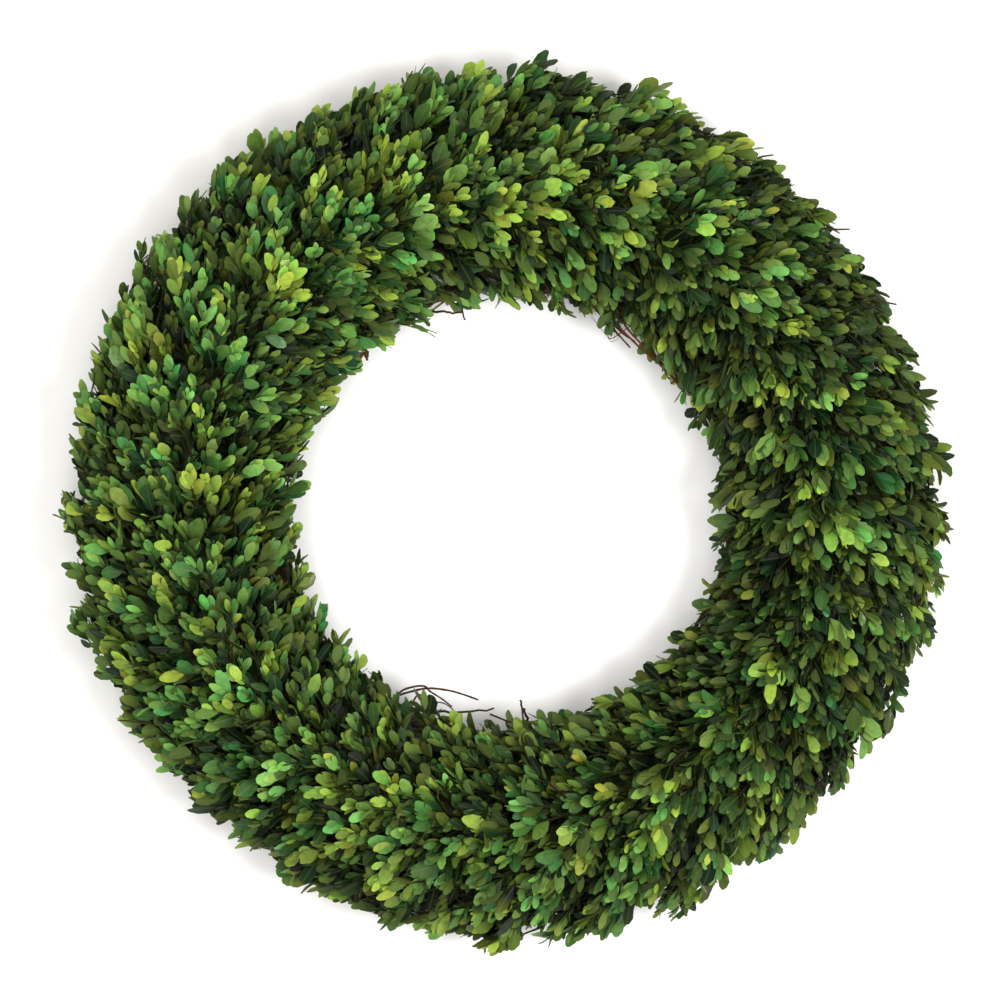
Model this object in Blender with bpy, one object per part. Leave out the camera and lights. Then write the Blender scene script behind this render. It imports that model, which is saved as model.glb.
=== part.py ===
"""Boxwood wreath lying on its back: leafy bunches in three rows round a hoop of twisted vine.

The hole's axis is Z, the surface it lies on is z = 0, and +Y is the wreath's top.
"""

import math
import random

import bmesh
import bpy
from mathutils import Matrix, Vector
from mathutils.bvhtree import BVHTree

SEED = 24
UP = Vector((0.0, 0.0, 1.0))
WELD = 1e-6

# Driving sizes of the whole wreath, in metres
HOLE_SHIFT = Vector((0.0038, -0.0079, 0.0))
OUTER_R = 0.299
SHIFT_FULL_R = 0.195

# Vine hoop: strands twisted round one another like a rope
HOOP_R = 0.172
HOOP_Z = 0.0242
STRANDS = 5
STRAND_R = 0.0070
STRAND_HELIX_R = 0.0132
STRAND_TWISTS = 4
STRAND_POINTS = 38
STRAND_SIDES_RES = 1
SHOOT_R = 0.0013
SHOOT_POINTS = 6

# Tie wire: one turn round the hoop for every station of bunches
WIRE_R = 0.0006
WIRE_COIL_R = 0.0229
WIRE_POINTS_PER_TURN = 8
WIRE_LOOP_DEG = 58.0
WIRE_LOOP_REACH = 0.011

# Bunches: cores built on the hoop, divided round the ring and across it
STATIONS = 16
CORE_GAP = 0.0006
SLANT = 0.45
SLANT_FROM = 0.0238
SKIN_R = 0.222
SKIN_Z = 0.045
SKIN_HALF_WIDTH = 0.056
SKIN_RISE = 0.051
SKIN_DROP = 0.045
CREST_PHI = 85.0
FLAT_SPOT_R = 0.214
SEAT_Z = 0.0481
CREST_SEAT_WIDTH = 0.009
OUTER_SKIN_STEPS = 3
OTHER_SKIN_STEPS = 2

# Leaves, larger than life so that fewer of them cover the ring; each is drawn again,
# calmer and smaller, until it is clear of the other bunches
LEAF_LENGTH = 0.039
LEAF_WIDTH = 0.0235
LEAF_THICKNESS = 0.0009
LEAF_SINK = 0.008
LEAF_LEAN_DEG = 40.0
LEAF_TIP_WIDTH = 0.70
LEAF_FULLNESS = 0.42
LEAF_ARCH_RANGE = (0.02, 0.11)
LEAF_SCALE_RANGE = (0.90, 1.08)
LEAN_JITTER_DEG = (-5.0, 9.0)
ROLL_JITTER_DEG = 12.0
SPLAY_DEG = 34.0
SPLAY_FULL_AT_DEG = 75.0
SPLAY_JITTER_DEG = 9.0
ZIGZAG = 0.18
STAGGER = 0.25
JITTER = 0.12
ROW_MARGIN = 0.06
SHARE_FROM = 0.03
SHARE_TO = 0.93
UNDER_SHARE = 0.5
UNDER_LEAN_DEG = 14.0
UNDER_SPLAY_DEG = 52.0
UNDER_LEAVES = 4
CLEARANCE = 0.0006
FLOOR_CLEARANCE = 0.0004
TRIES = 14
CALM_AFTER = 7
CALMER = 0.6
SHRINK_PER_TRY = 0.02
NEAR = 0.085

# Bare twig tips that stand out round the outside, by their angle from +X
TWIG_DEGS = (31.0, 42.6, 56.4, 106.5, 207.4, 214.3)
TWIG_R = 0.0011
TWIG_LENGTH = 0.044
TWIG_PHI_DEG = 24.0
TWIG_LEAN_DEG = 48.0

# Side shoots of the vine at the hole's rim: angle where each starts, then its tip's angle,
# reach in from the hoop's centre line and height
SHOOTS = (
    (116.0, 102.3, 0.0315, 0.036),
    (50.0, 34.4, 0.0285, 0.034),
    (242.0, 267.6, 0.0357, 0.030),
    (277.5, 275.5, 0.0425, 0.040),
    (298.0, 294.5, 0.0310, 0.036),
)

ROWS = {
    "outer": {"phi": (-34.0, 50.0), "turn": 0.0, "leaves": (4, 3), "size": 1.12},
    "crest": {"phi": (50.0, 115.0), "turn": 0.5, "leaves": (4, 3), "size": 1.0},
    "inner": {"phi": (115.0, 176.0), "turn": 0.0, "leaves": (3, 4), "size": 1.0},
}

BARK = (0.118, 0.066, 0.034)
WIRE_COLOUR = (0.052, 0.044, 0.036)
LEAF_TINTS = (
    (0.032, 0.082, 0.018),
    (0.045, 0.110, 0.022),
    (0.060, 0.120, 0.022),
    (0.036, 0.105, 0.034),
    (0.082, 0.150, 0.026),
)


def clear_scene():
    """Remove the objects that the file opens with."""
    for obj in list(bpy.data.objects):
        bpy.data.objects.remove(obj, do_unlink=True)


def new_collection(name):
    """Add a collection to the scene."""
    collection = bpy.data.collections.new(name)
    bpy.context.scene.collection.children.link(collection)
    return collection


def new_material(name, colour, roughness, metallic=0.0):
    """Make a Principled material for one sub-part."""
    material = bpy.data.materials.new(name)
    material.use_nodes = True
    shader = material.node_tree.nodes["Principled BSDF"]
    shader.inputs["Base Color"].default_value = (*colour, 1.0)
    shader.inputs["Roughness"].default_value = roughness
    shader.inputs["Metallic"].default_value = metallic
    material.diffuse_color = (*colour, 1.0)
    return material


def hole_offset(theta):
    """How far the hole's rim moves out at this angle, because the hole sits off the centre."""
    return HOLE_SHIFT.x * math.cos(theta) + HOLE_SHIFT.y * math.sin(theta)


def ring_point(r, z, theta):
    """Place a point of the ring's section, with the hole's shift fading out to the rim."""
    share = (OUTER_R - r) / (OUTER_R - SHIFT_FULL_R)
    r += hole_offset(theta) * min(max(share, 0.0), 1.0)
    return Vector((r * math.cos(theta), r * math.sin(theta), z))


def skin_point(phi):
    """The bunch cores' skin in the section: phi is 0 at the outside and 90 degrees on top."""
    rise = SKIN_RISE if phi > 0 else SKIN_DROP
    return SKIN_R + SKIN_HALF_WIDTH * math.cos(phi), SKIN_Z + rise * math.sin(phi)


def slanted(theta, r, z):
    """Lean the bunches clockwise: the higher a point stands off the hoop, the further it moves."""
    height = math.hypot(r - HOOP_R, z - HOOP_Z) - SLANT_FROM
    return theta - SLANT * max(height, 0.0) / r


def core_outline(row):
    """The section of one row's cores, as (r, z) corners that leave a gap to the next row."""
    low, high = (math.radians(a) for a in ROWS[row]["phi"])
    edge = CORE_GAP / 2 / SKIN_HALF_WIDTH
    steps = OUTER_SKIN_STEPS if row == "outer" else OTHER_SKIN_STEPS
    phis = [low + edge + (high - low - 2 * edge) * i / steps for i in range(steps + 1)]
    skin = [skin_point(phi) for phi in phis]
    seat_out = HOOP_R + SLANT_FROM
    if row == "outer":
        return [(seat_out, 0.0), (FLAT_SPOT_R, 0.0), *skin, (seat_out, SEAT_Z)]
    if row == "crest":
        return [(seat_out - CORE_GAP, SEAT_Z), *skin, (seat_out - CREST_SEAT_WIDTH, SEAT_Z)]
    seat_in = seat_out - CREST_SEAT_WIDTH - CORE_GAP
    return [(seat_in, SEAT_Z), *skin, (SKIN_R - SKIN_HALF_WIDTH, SEAT_Z)]


def build_core(row, theta_start, theta_end):
    """Loft a core between two slanted ends, from a capped prism whose corners are moved."""
    outline = core_outline(row)
    bm = bmesh.new()
    corners = len(outline)
    bmesh.ops.create_cone(
        bm, cap_ends=True, segments=corners, radius1=1.0, radius2=1.0, depth=1.0
    )
    geometry = bm.verts[:] + bm.edges[:] + bm.faces[:]
    bmesh.ops.bisect_plane(bm, geom=geometry, plane_co=(0, 0, 0), plane_no=(0, 0, 1))
    for vert in bm.verts:
        turn = math.atan2(vert.co.y, vert.co.x) / math.tau * corners
        r, z = outline[round(turn) % corners]
        theta = theta_start + (theta_end - theta_start) * (vert.co.z + 0.5)
        vert.co = ring_point(r, z, slanted(theta, r, z))
    bmesh.ops.recalc_face_normals(bm, faces=bm.faces)
    return bm


def leaf_mesh(length, width, thickness, arch):
    """A spoon-shaped leaf along +Y: a three-sided ball, flattened, with a keel below."""
    bm = bmesh.new()
    bmesh.ops.create_uvsphere(bm, u_segments=3, v_segments=3, radius=1.0)
    widest = max(vert.co.y for vert in bm.verts)
    for vert in bm.verts:
        along = ((vert.co.z + 1.0) / 2.0) ** LEAF_FULLNESS
        narrow = LEAF_TIP_WIDTH if vert.co.z > 0.0 else 1.0
        across = vert.co.y / widest * width / 2.0 * narrow
        up = -vert.co.x * thickness - arch * length * along * along
        vert.co = (across, length * along, up)
    return bm


def leaf_frame(root, direction, outward, roll):
    """The matrix that stands a leaf at its root, with its top face turned outward."""
    side = direction.cross(outward).normalized()
    up = side.cross(direction).normalized()
    turn = Matrix.Rotation(roll, 3, direction)
    side = turn @ side
    up = turn @ up
    return Matrix.Translation(root) @ Matrix((side, direction, up)).transposed().to_4x4()


def skin_place(phi, theta):
    """Where a leaf stands on a core's skin: its point, directions, lean and splay."""
    rise = SKIN_RISE if phi > 0 else SKIN_DROP
    radial = Vector((math.cos(theta), math.sin(theta), 0.0))
    clockwise = Vector((math.sin(theta), -math.cos(theta), 0.0))
    outward = radial * (math.cos(phi) / SKIN_HALF_WIDTH) + UP * (math.sin(phi) / rise)
    along = radial * (SKIN_HALF_WIDTH * math.sin(phi)) - UP * (rise * math.cos(phi))
    away = along if math.degrees(phi) < CREST_PHI else -along
    off_crest = min(abs(math.degrees(phi) - CREST_PHI) / SPLAY_FULL_AT_DEG, 1.0)
    point = ring_point(*skin_point(phi), theta)
    splay = SPLAY_DEG * off_crest
    return point, outward.normalized(), clockwise, away.normalized(), LEAF_LEAN_DEG, splay


def under_place(share, theta):
    """The same on the slope under the outer row, where leaves lie close and point outward."""
    rim_r, rim_z = skin_point(math.radians(ROWS["outer"]["phi"][0]))
    radial = Vector((math.cos(theta), math.sin(theta), 0.0))
    clockwise = Vector((math.sin(theta), -math.cos(theta), 0.0))
    away = (radial * (rim_r - FLAT_SPOT_R) + UP * rim_z).normalized()
    point = ring_point(FLAT_SPOT_R + (rim_r - FLAT_SPOT_R) * share, rim_z * share, theta)
    return point, away.cross(clockwise), clockwise, away, UNDER_LEAN_DEG, UNDER_SPLAY_DEG


def leaf_pose(place, rng, wildness):
    """Draw how one leaf leans, splays and rolls at its place."""
    point, outward, clockwise, away, lean_deg, splay_deg = place
    splay = math.radians(splay_deg + rng.gauss(0.0, SPLAY_JITTER_DEG) * wildness)
    lean = math.radians(lean_deg + rng.uniform(*LEAN_JITTER_DEG) * wildness)
    roll = math.radians(rng.gauss(0.0, ROLL_JITTER_DEG) * wildness)
    sweep = clockwise * math.cos(splay) + away * math.sin(splay)
    direction = (sweep * math.cos(lean) + outward * math.sin(lean)).normalized()
    root = point - direction * LEAF_SINK
    return leaf_frame(root, direction, outward, roll)


def leaf_pair(pose, scale, arch):
    """The leaf, and a slightly fatter tree of its faces that keeps it clear of its neighbours."""
    length = LEAF_LENGTH * scale
    width = LEAF_WIDTH * scale
    leaf = leaf_mesh(length, width, LEAF_THICKNESS, arch)
    leaf.transform(pose)
    fat = leaf_mesh(
        length + CLEARANCE, width + 2 * CLEARANCE, LEAF_THICKNESS + CLEARANCE, arch
    )
    fat.transform(pose)
    tree = BVHTree.FromBMesh(fat)
    fat.free()
    return leaf, tree


def crosses(tree, centre, own, foliage):
    """Whether a leaf meets another node's core or leaves, and how many leaves of its own bunch."""
    inside = 0
    for place, other, bunch in foliage:
        if (place - centre).length > NEAR or not tree.overlap(other):
            continue
        if bunch != own:
            return True, inside
        inside += 1
    return False, inside


def grow_leaf(place, size, bunch, rng, foliage, cores):
    """Find a clear place for one leaf by drawing again, or give it up."""
    best = None
    for attempt in range(TRIES):
        pose = leaf_pose(place, rng, 1.0 if attempt < CALM_AFTER else CALMER)
        scale = size * (rng.uniform(*LEAF_SCALE_RANGE) - SHRINK_PER_TRY * attempt)
        leaf, tree = leaf_pair(pose, scale, rng.uniform(*LEAF_ARCH_RANGE))
        low = min(vert.co.z for vert in leaf.verts)
        centre = pose @ Vector((0.0, LEAF_LENGTH / 2, 0.0))
        hit = any(tree.overlap(core) for name, core in cores.items() if name != bunch)
        hit = hit or low < FLOOR_CLEARANCE
        inside = 0
        if not hit:
            hit, inside = crosses(tree, centre, bunch, foliage)
        if hit or (best and inside >= best[3]):
            leaf.free()
            continue
        if best:
            best[0].free()
        best = (leaf, tree, centre, inside)
        if not inside:
            break
    return best


def leaf_places(row, theta_start, theta_end, rng):
    """Zigzag places on one core's skin, with a little jitter, so that no bare lines show."""
    columns, lines = ROWS[row]["leaves"]
    low, high = ROWS[row]["phi"]
    for line in range(lines):
        for column in range(columns):
            zigzag = ZIGZAG if (line + column) % 2 else -ZIGZAG
            up = (line + 0.5 + zigzag + rng.uniform(-JITTER, JITTER)) / lines
            up = min(max(up, ROW_MARGIN), 1.0 - ROW_MARGIN)
            phi = math.radians(low + (high - low) * up)
            stagger = STAGGER if line % 2 else -STAGGER
            share = (column + 0.5 + stagger + rng.uniform(-JITTER, JITTER)) / columns
            share = SHARE_FROM + (SHARE_TO - SHARE_FROM) * share
            shift = slanted(0.0, *skin_point(phi))
            yield skin_place(phi, theta_start + shift + (theta_end - theta_start) * share)
    for i in range(UNDER_LEAVES if row == "outer" else 0):
        share = (i + 0.5 + rng.uniform(-JITTER, JITTER)) / UNDER_LEAVES
        along = UNDER_SHARE + (ZIGZAG if i % 2 else -ZIGZAG) / 2
        yield under_place(along, theta_start + (theta_end - theta_start) * share)


def mesh_object(name, bm, collection):
    """Put a bmesh into a new object."""
    mesh = bpy.data.meshes.new(name)
    bm.to_mesh(mesh)
    bm.free()
    obj = bpy.data.objects.new(name, mesh)
    collection.objects.link(obj)
    return obj


def apply_modifiers(obj):
    """Keep the evaluated shape as the object's own mesh."""
    depsgraph = bpy.context.evaluated_depsgraph_get()
    mesh = bpy.data.meshes.new_from_object(obj.evaluated_get(depsgraph))
    obj.modifiers.clear()
    obj.data = mesh


def fuse(obj, extras, scrap):
    """Join meshes into one object with a single union, then drop them and any loose scrap."""
    for i, bm in enumerate(extras):
        mesh_object(f"{obj.name}_extra_{i}", bm, scrap)
    union = obj.modifiers.new("union", "BOOLEAN")
    union.operation = "UNION"
    union.operand_type = "COLLECTION"
    union.collection = scrap
    apply_modifiers(obj)
    for extra in list(scrap.objects):
        bpy.data.objects.remove(extra, do_unlink=True)
    keep_largest(obj.data)


def keep_largest(mesh):
    """Remove every connected piece of the mesh but the one with the most vertices."""
    bm = bmesh.new()
    bm.from_mesh(mesh)
    bmesh.ops.dissolve_degenerate(bm, dist=WELD, edges=bm.edges)
    todo = set(bm.verts)
    pieces = []
    while todo:
        piece = set()
        front = [todo.pop()]
        while front:
            vert = front.pop()
            piece.add(vert)
            fresh = {e.other_vert(vert) for e in vert.link_edges} & todo
            todo -= fresh
            front.extend(fresh)
        pieces.append(piece)
    pieces.sort(key=len)
    for piece in pieces[:-1]:
        bmesh.ops.delete(bm, geom=list(piece), context="VERTS")
    bmesh.ops.triangulate(bm, faces=bm.faces)
    bm.to_mesh(mesh)
    bm.free()


def set_origin(obj, theta):
    """Move the object's origin to its seat on the hoop, with local X pointing away from the hole."""
    seat = Matrix.Translation(ring_point(HOOP_R, SEAT_Z, theta)) @ Matrix.Rotation(theta, 4, "Z")
    obj.data.transform(seat.inverted())
    obj.matrix_world = seat


def bunch_stations():
    """Every bunch's name, row and the angles its core runs between, clockwise from the top."""
    step = math.tau / STATIONS
    for row, values in ROWS.items():
        for i in range(STATIONS):
            start = math.pi / 2 - (i + values["turn"]) * step
            yield f"{row}_bunch_{i + 1:02d}", row, start, start - step


def twig_mesh(theta):
    """A bare twig tip that stands out of the outer row, thin and three-sided."""
    bm = bmesh.new()
    bmesh.ops.create_cone(
        bm, cap_ends=True, segments=3, radius1=TWIG_R, radius2=TWIG_R / 2, depth=TWIG_LENGTH
    )
    point, outward, clockwise = skin_place(math.radians(TWIG_PHI_DEG), theta)[:3]
    lean = math.radians(TWIG_LEAN_DEG)
    direction = clockwise * math.cos(lean) + outward * math.sin(lean)
    middle = point + direction * (TWIG_LENGTH / 2 - LEAF_SINK)
    turn = UP.rotation_difference(direction)
    bm.transform(Matrix.Translation(middle) @ turn.to_matrix().to_4x4())
    return bm


def twig_bunch(degrees):
    """The outer bunch on whose skin a twig at this angle stands."""
    r, z = skin_point(math.radians(TWIG_PHI_DEG))
    clockwise = math.pi / 2 - (math.radians(degrees) - slanted(0.0, r, z))
    return f"outer_bunch_{int(clockwise % math.tau / math.tau * STATIONS) + 1:02d}"


def place_twigs(foliage, extras):
    """Stand the twig tips before the leaves, so that the leaves keep clear of them."""
    for degrees in TWIG_DEGS:
        bm = twig_mesh(math.radians(degrees))
        bunch = twig_bunch(degrees)
        centre = sum((vert.co for vert in bm.verts), Vector()) / len(bm.verts)
        foliage.append((centre, BVHTree.FromBMesh(bm), bunch))
        extras[bunch].append(bm)


def object_tree(obj):
    """The faces of a finished object, where it stands, for leaves to keep clear of."""
    corners = [obj.matrix_basis @ vert.co for vert in obj.data.vertices]
    return BVHTree.FromPolygons(corners, [face.vertices[:] for face in obj.data.polygons])


def build_bunches(parts, scrap, rng):
    """Build the cores, grow leaves on them clear of every other bunch, and fuse each bunch."""
    stations = list(bunch_stations())
    half_gap = CORE_GAP / 2 / SKIN_R
    core_meshes = {n: build_core(row, a - half_gap, b + half_gap) for n, row, a, b in stations}
    extras = {name: [] for name in core_meshes}
    cores = {obj.name: object_tree(obj) for obj in parts.objects}
    cores.update((name, BVHTree.FromBMesh(bm)) for name, bm in core_meshes.items())
    foliage = []
    place_twigs(foliage, extras)
    for name, row, start, end in stations:
        for place in leaf_places(row, start, end, rng):
            found = grow_leaf(place, ROWS[row]["size"], name, rng, foliage, cores)
            if found:
                leaf, tree, centre, _ = found
                extras[name].append(leaf)
                foliage.append((centre, tree, name))
    for name, row, start, end in stations:
        obj = mesh_object(name, core_meshes[name], parts)
        fuse(obj, extras[name], scrap)
        set_origin(obj, (start + end) / 2)
        obj.data.materials.append(new_material(name, rng.choice(LEAF_TINTS), 0.5))


def hoop_section(theta, angle, distance):
    """A point beside the hoop's centre line: angle 0 is away from the hole, 90 degrees is up."""
    r = HOOP_R + distance * math.cos(angle)
    return ring_point(r, HOOP_Z + distance * math.sin(angle), theta)


def tube(name, points, radius, cyclic, resolution, collection, tip=1.0):
    """A round wire or stem along points, thinned to its tip, as a curve made into a mesh."""
    curve = bpy.data.curves.new(name, "CURVE")
    curve.dimensions = "3D"
    curve.bevel_depth = radius
    curve.bevel_resolution = resolution
    curve.use_fill_caps = not cyclic
    spline = curve.splines.new("POLY")
    spline.points.add(len(points) - 1)
    spline.use_cyclic_u = cyclic
    for i, (target, point) in enumerate(zip(spline.points, points)):
        target.co = (*point, 1.0)
        target.radius = 1.0 + (tip - 1.0) * i / len(points)
    source = bpy.data.objects.new(name + "_curve", curve)
    collection.objects.link(source)
    depsgraph = bpy.context.evaluated_depsgraph_get()
    bm = bmesh.new()
    bm.from_mesh(bpy.data.meshes.new_from_object(source.evaluated_get(depsgraph)))
    bpy.data.objects.remove(source, do_unlink=True)
    bmesh.ops.remove_doubles(bm, verts=bm.verts, dist=WELD)
    bmesh.ops.recalc_face_normals(bm, faces=bm.faces)
    return bm


def strand_angle(strand, theta):
    """Where a strand lies in the hoop's section."""
    return math.tau * strand / STRANDS + STRAND_TWISTS * theta


def inner_strand(theta):
    """The strand that lies nearest the hole at this angle."""
    return max(range(STRANDS), key=lambda strand: -math.cos(strand_angle(strand, theta)))


def shoot_points(strand, start_deg, end_deg, tip_reach, tip_z):
    """A thin side shoot that leaves its strand and runs along the hole's rim to a free tip."""
    start = math.radians(start_deg)
    points = [hoop_section(start, strand_angle(strand, start), STRAND_HELIX_R)]
    start_reach = STRAND_HELIX_R + STRAND_R + 2 * SHOOT_R
    for i in range(SHOOT_POINTS):
        t = i / (SHOOT_POINTS - 1)
        reach = start_reach + (tip_reach - start_reach) * t
        z = points[0].z + (tip_z - points[0].z) * t
        theta = math.radians(start_deg + (end_deg - start_deg) * (t + 0.08) / 1.08)
        points.append(ring_point(HOOP_R - reach, z, theta))
    return points


def build_vines(parts, scrap):
    """Wind the strands of the hoop and fuse each side shoot to the strand it leaves."""
    shoots = {strand: [] for strand in range(STRANDS)}
    for shoot in SHOOTS:
        strand = inner_strand(math.radians(shoot[0]))
        points = shoot_points(strand, *shoot)
        shoots[strand].append(tube("shoot", points, SHOOT_R, False, 0, scrap, 0.5))
    for strand in range(STRANDS):
        name = f"vine_strand_{strand + 1}"
        points = []
        for i in range(STRAND_POINTS):
            theta = math.tau * i / STRAND_POINTS
            points.append(hoop_section(theta, strand_angle(strand, theta), STRAND_HELIX_R))
        bm = tube(name, points, STRAND_R, True, STRAND_SIDES_RES, scrap)
        obj = mesh_object(name, bm, parts)
        if shoots[strand]:
            fuse(obj, shoots[strand], scrap)
        for face in obj.data.polygons:
            face.use_smooth = True
        obj.data.transform(Matrix.Translation(-HOLE_SHIFT))
        obj.location = HOLE_SHIFT
        obj.data.materials.append(new_material(name, BARK, 0.8))


def build_wire(parts, scrap):
    """Coil the tie wire round the hoop, with one loose loop that stands into the hole."""
    turns = STATIONS * WIRE_POINTS_PER_TURN
    points = []
    for i in range(turns):
        theta = math.tau * i / turns
        around = math.tau * i / WIRE_POINTS_PER_TURN
        inward = max(-math.cos(around), 0.0) ** 3
        near = abs(math.degrees(theta) - WIRE_LOOP_DEG) < 360.0 / STATIONS / 2
        reach = WIRE_COIL_R + (WIRE_LOOP_REACH * inward if near else 0.0)
        points.append(hoop_section(theta, around, reach))
    obj = mesh_object("tie_wire", tube("tie_wire", points, WIRE_R, True, 0, scrap), parts)
    obj.data.materials.append(new_material("tie_wire", WIRE_COLOUR, 0.45, 0.9))


def main():
    clear_scene()
    parts = new_collection("boxwood_wreath")
    scrap = new_collection("joined_pieces")
    build_vines(parts, scrap)
    build_wire(parts, scrap)
    build_bunches(parts, scrap, random.Random(SEED))


main()
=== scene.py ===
"""Looks of a preserved boxwood wreath, laid out as a Blender add-on and run as a script.

Leafy sprigs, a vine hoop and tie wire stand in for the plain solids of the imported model.
Sizes are metres. +Z is out of the wreath's front and +Y its top.
"""

import math

import bpy
import numpy as np
from bpy.props import FloatProperty, FloatVectorProperty, PointerProperty
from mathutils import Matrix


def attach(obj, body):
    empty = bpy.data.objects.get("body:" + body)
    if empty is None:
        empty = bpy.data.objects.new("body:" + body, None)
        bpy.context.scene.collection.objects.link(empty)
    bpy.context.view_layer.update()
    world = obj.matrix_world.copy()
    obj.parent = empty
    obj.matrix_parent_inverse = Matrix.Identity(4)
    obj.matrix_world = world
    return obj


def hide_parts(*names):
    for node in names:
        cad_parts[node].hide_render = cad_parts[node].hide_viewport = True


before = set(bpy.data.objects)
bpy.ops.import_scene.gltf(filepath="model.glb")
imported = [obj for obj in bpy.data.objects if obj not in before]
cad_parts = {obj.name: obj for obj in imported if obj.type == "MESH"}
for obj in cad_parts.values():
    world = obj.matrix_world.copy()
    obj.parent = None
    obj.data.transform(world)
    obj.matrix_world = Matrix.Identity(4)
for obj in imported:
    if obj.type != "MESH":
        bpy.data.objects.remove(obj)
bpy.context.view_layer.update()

bl_info = {
    "name": "Boxwood wreath",
    "version": (1, 0, 0),
    "blender": (4, 5, 0),
    "location": "View3D > Sidebar > Wreath",
    "description": "Dresses the solids of a boxwood wreath with leafy sprigs, vine, twigs and wire",
    "category": "Object",
}

BODY = "root"
MM = 0.001
UP = np.array((0.0, 0.0, 1.0))
AXIS_NUDGE = 0.01  # tilts a tube's first side, so that it never lies along the tube

# The ring and its section, with the same values as the solids
HOLE_SHIFT = (0.0038, -0.0079)
OUTER_R = 0.299
SHIFT_FULL_R = 0.195
SKIN_R = 0.222
SKIN_Z = 0.045
SKIN_HALF_WIDTH = 0.056
SKIN_RISE = 0.051
SKIN_DROP = 0.045
FLAT_SPOT_R = 0.214
SEAT_Z = 0.0481
SLANT = 0.45
SLANT_FROM = 0.0238
STATIONS = 16
ROWS = {
    "outer": {"phi": (-34.0, 50.0), "turn": 0.0},
    "crest": {"phi": (50.0, 115.0), "turn": 0.5},
    "inner": {"phi": (115.0, 176.0), "turn": 0.0},
}

# Sprigs: stems that lean clockwise and carry leaves in crossed pairs, counted from the tip
SEED = 2024
STEM_LENGTH = 0.034
STEM_CURVE = 4.0
STEM_TIP_HEIGHT = 0.0095
STEM_TIP_SPREAD = 0.0024
RIM_PHI_DEG = 150.0
RIM_FULL_DEG = 176.0
RIM_HEIGHT = 0.0045
HANG_PHI_DEG = 190.0
STEM_RADIUS = (0.00040, 0.0008)
STEM_PAINTED_SHADES = (0.6, 0.20)
STEM_RINGS = 3
STEM_SIDES = 4
SPLAY_DEG = 40.0
PARTING_PHI_DEG = 108.0
PARTING_WIDTH_DEG = 26.0
LEAN_SPREAD_DEG = 8.0
SPLAY_SPREAD_DEG = 12.0
SPOT_JITTER = 0.34
ROW_STAGGER = 0.25
PAIR_STEPS = (0.0010, 0.0052, 0.0102, 0.0158)
PAIR_STEP_SPREAD = (0.85, 1.15)
PAIR_SPREADS_DEG = (14.0, 22.0, 29.0, 35.0)
PAIR_SIZES = (0.80, 0.99, 1.04, 0.95)
PAIR_TURN_DEG = (45.0, 24.0)
PAIR_JITTER_DEG = 15.0
FACE_OUT = (0.62, 0.38)
TURNED_OVER = 0.05
OUTSIDE_UPTURN = 0.45
HIDDEN_BELOW = -0.36  # leaves that point further in than this are left out

# Leaves that lie close on the flat spots and the slope under the outer row
UNDER_LINES = 4
UNDER_SPACING = 0.0150
UNDER_FROM_R = 0.199
UNDER_Z = 0.0065
UNDER_LEAN_DEG = 9.0
UNDER_SPLAY_DEG = 50.0

# How far out, up and down the leaves and stems may reach
LEAF_REACH_R = 0.3110
STEM_REACH_R = 0.3030
LEAF_REACH_Z = 0.1235
FLOOR_GAP = 0.0004
STEM_FLOOR_GAP = 3 * FLOOR_GAP

# Where the outline and the hole's rim swell or shrink: ring angle, half width and height
OUTER_SWELLS = (
    (342.0, 20.0, 0.0075),
    (292.0, 30.0, 0.0040),
    (228.0, 13.0, -0.0065),
    (30.0, 9.0, -0.0045),
)
RIM_SWELLS = (
    (35.0, 4.0, -0.0040),
    (55.0, 9.0, -0.0070),
    (108.0, 6.0, -0.0040),
    (137.0, 5.0, -0.0040),
    (254.0, 13.0, -0.0035),
    (284.0, 12.0, 0.0040),
    (338.0, 13.0, -0.0060),
)
OUTER_SWELL_PHI = (-20.0, 45.0)
RIM_SWELL_PHI = (135.0, 176.0)
SWELL_FALLOFF = 2

# Sprigs that stand out into the hole: ring angle, section angle, height and freshness
STRAY_SPRIGS = (
    (147.5, 168.0, 0.022, 5.0),
    (150.5, 160.0, 0.021, 5.0),
    (126.5, 168.0, 0.020, 3.0),
    (40.0, 176.0, 0.018, -3.0),
    (243.0, 172.0, 0.016, -3.0),
    (256.0, 172.0, 0.012, 4.0),
)

# Leaves: spoon-shaped, by share of the length and of the half width
LEAF_ALONG = np.array((0.10, 0.38, 0.70, 0.94))
LEAF_SPOON = np.array((0.22, 0.80, 1.00, 0.52))
LEAF_OVAL = np.array((0.44, 0.98, 0.88, 0.38))
LEAF_LENGTH_SPREAD = 0.24
LEAF_LENGTH_CLUSTERING = 0.12
LEAF_LENGTH_LIMITS = (0.0078, 0.0225)
LEAF_THICKNESS = 0.0005
LEAF_SLIM = (0.40, 0.58)
LEAF_ARCH = (0.22, 0.30)
LEAST_ARCH = 0.001
LEAF_FOLD = (0.10, 0.20)
LEAF_TWIST = 0.22
SHARP_DEG = 75.0

# Leaf colours: shares of the palette, how far they vary, and the painted shade that darkens them between
# the sprigs
RIM = 0.5  # the mark of a leaf's rim, where its top is 1 and its underside 0
PALETTE_SHARES = {
    "deep_green": 0.43,
    "mid_green": 0.34,
    "olive_green": 0.08,
    "fresh_green": 0.12,
    "emerald_green": 0.03,
}
FRESH, EMERALD = 3, 4  # places in the palette
CLUMP_PULL = 2.6
LEAF_OWN_SHARE = (0.10, 0.75)
CLUMP_SIZE_DEG = (5.0, 18.0)
CLUMP_SHADE = 0.75
SHADE_SPREAD = 0.46
BRIGHTEST_SHADE = 1.85
PALEST_LEAF = 0.36
LUMINANCE = np.array((0.21, 0.72, 0.07))
RED_SPREAD = 0.13
TIP_FRESHNESS = (0.12, 0.06, 0.0, 0.0)
FRESHNESS_SPREAD = (0.0, 2.0)
PAIR_PAINTED_SHADES = (1.50, 1.28, 0.56, 0.30)
PAINTED_BASE_SHADE_TO_TIP = (0.66, 1.30)
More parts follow.
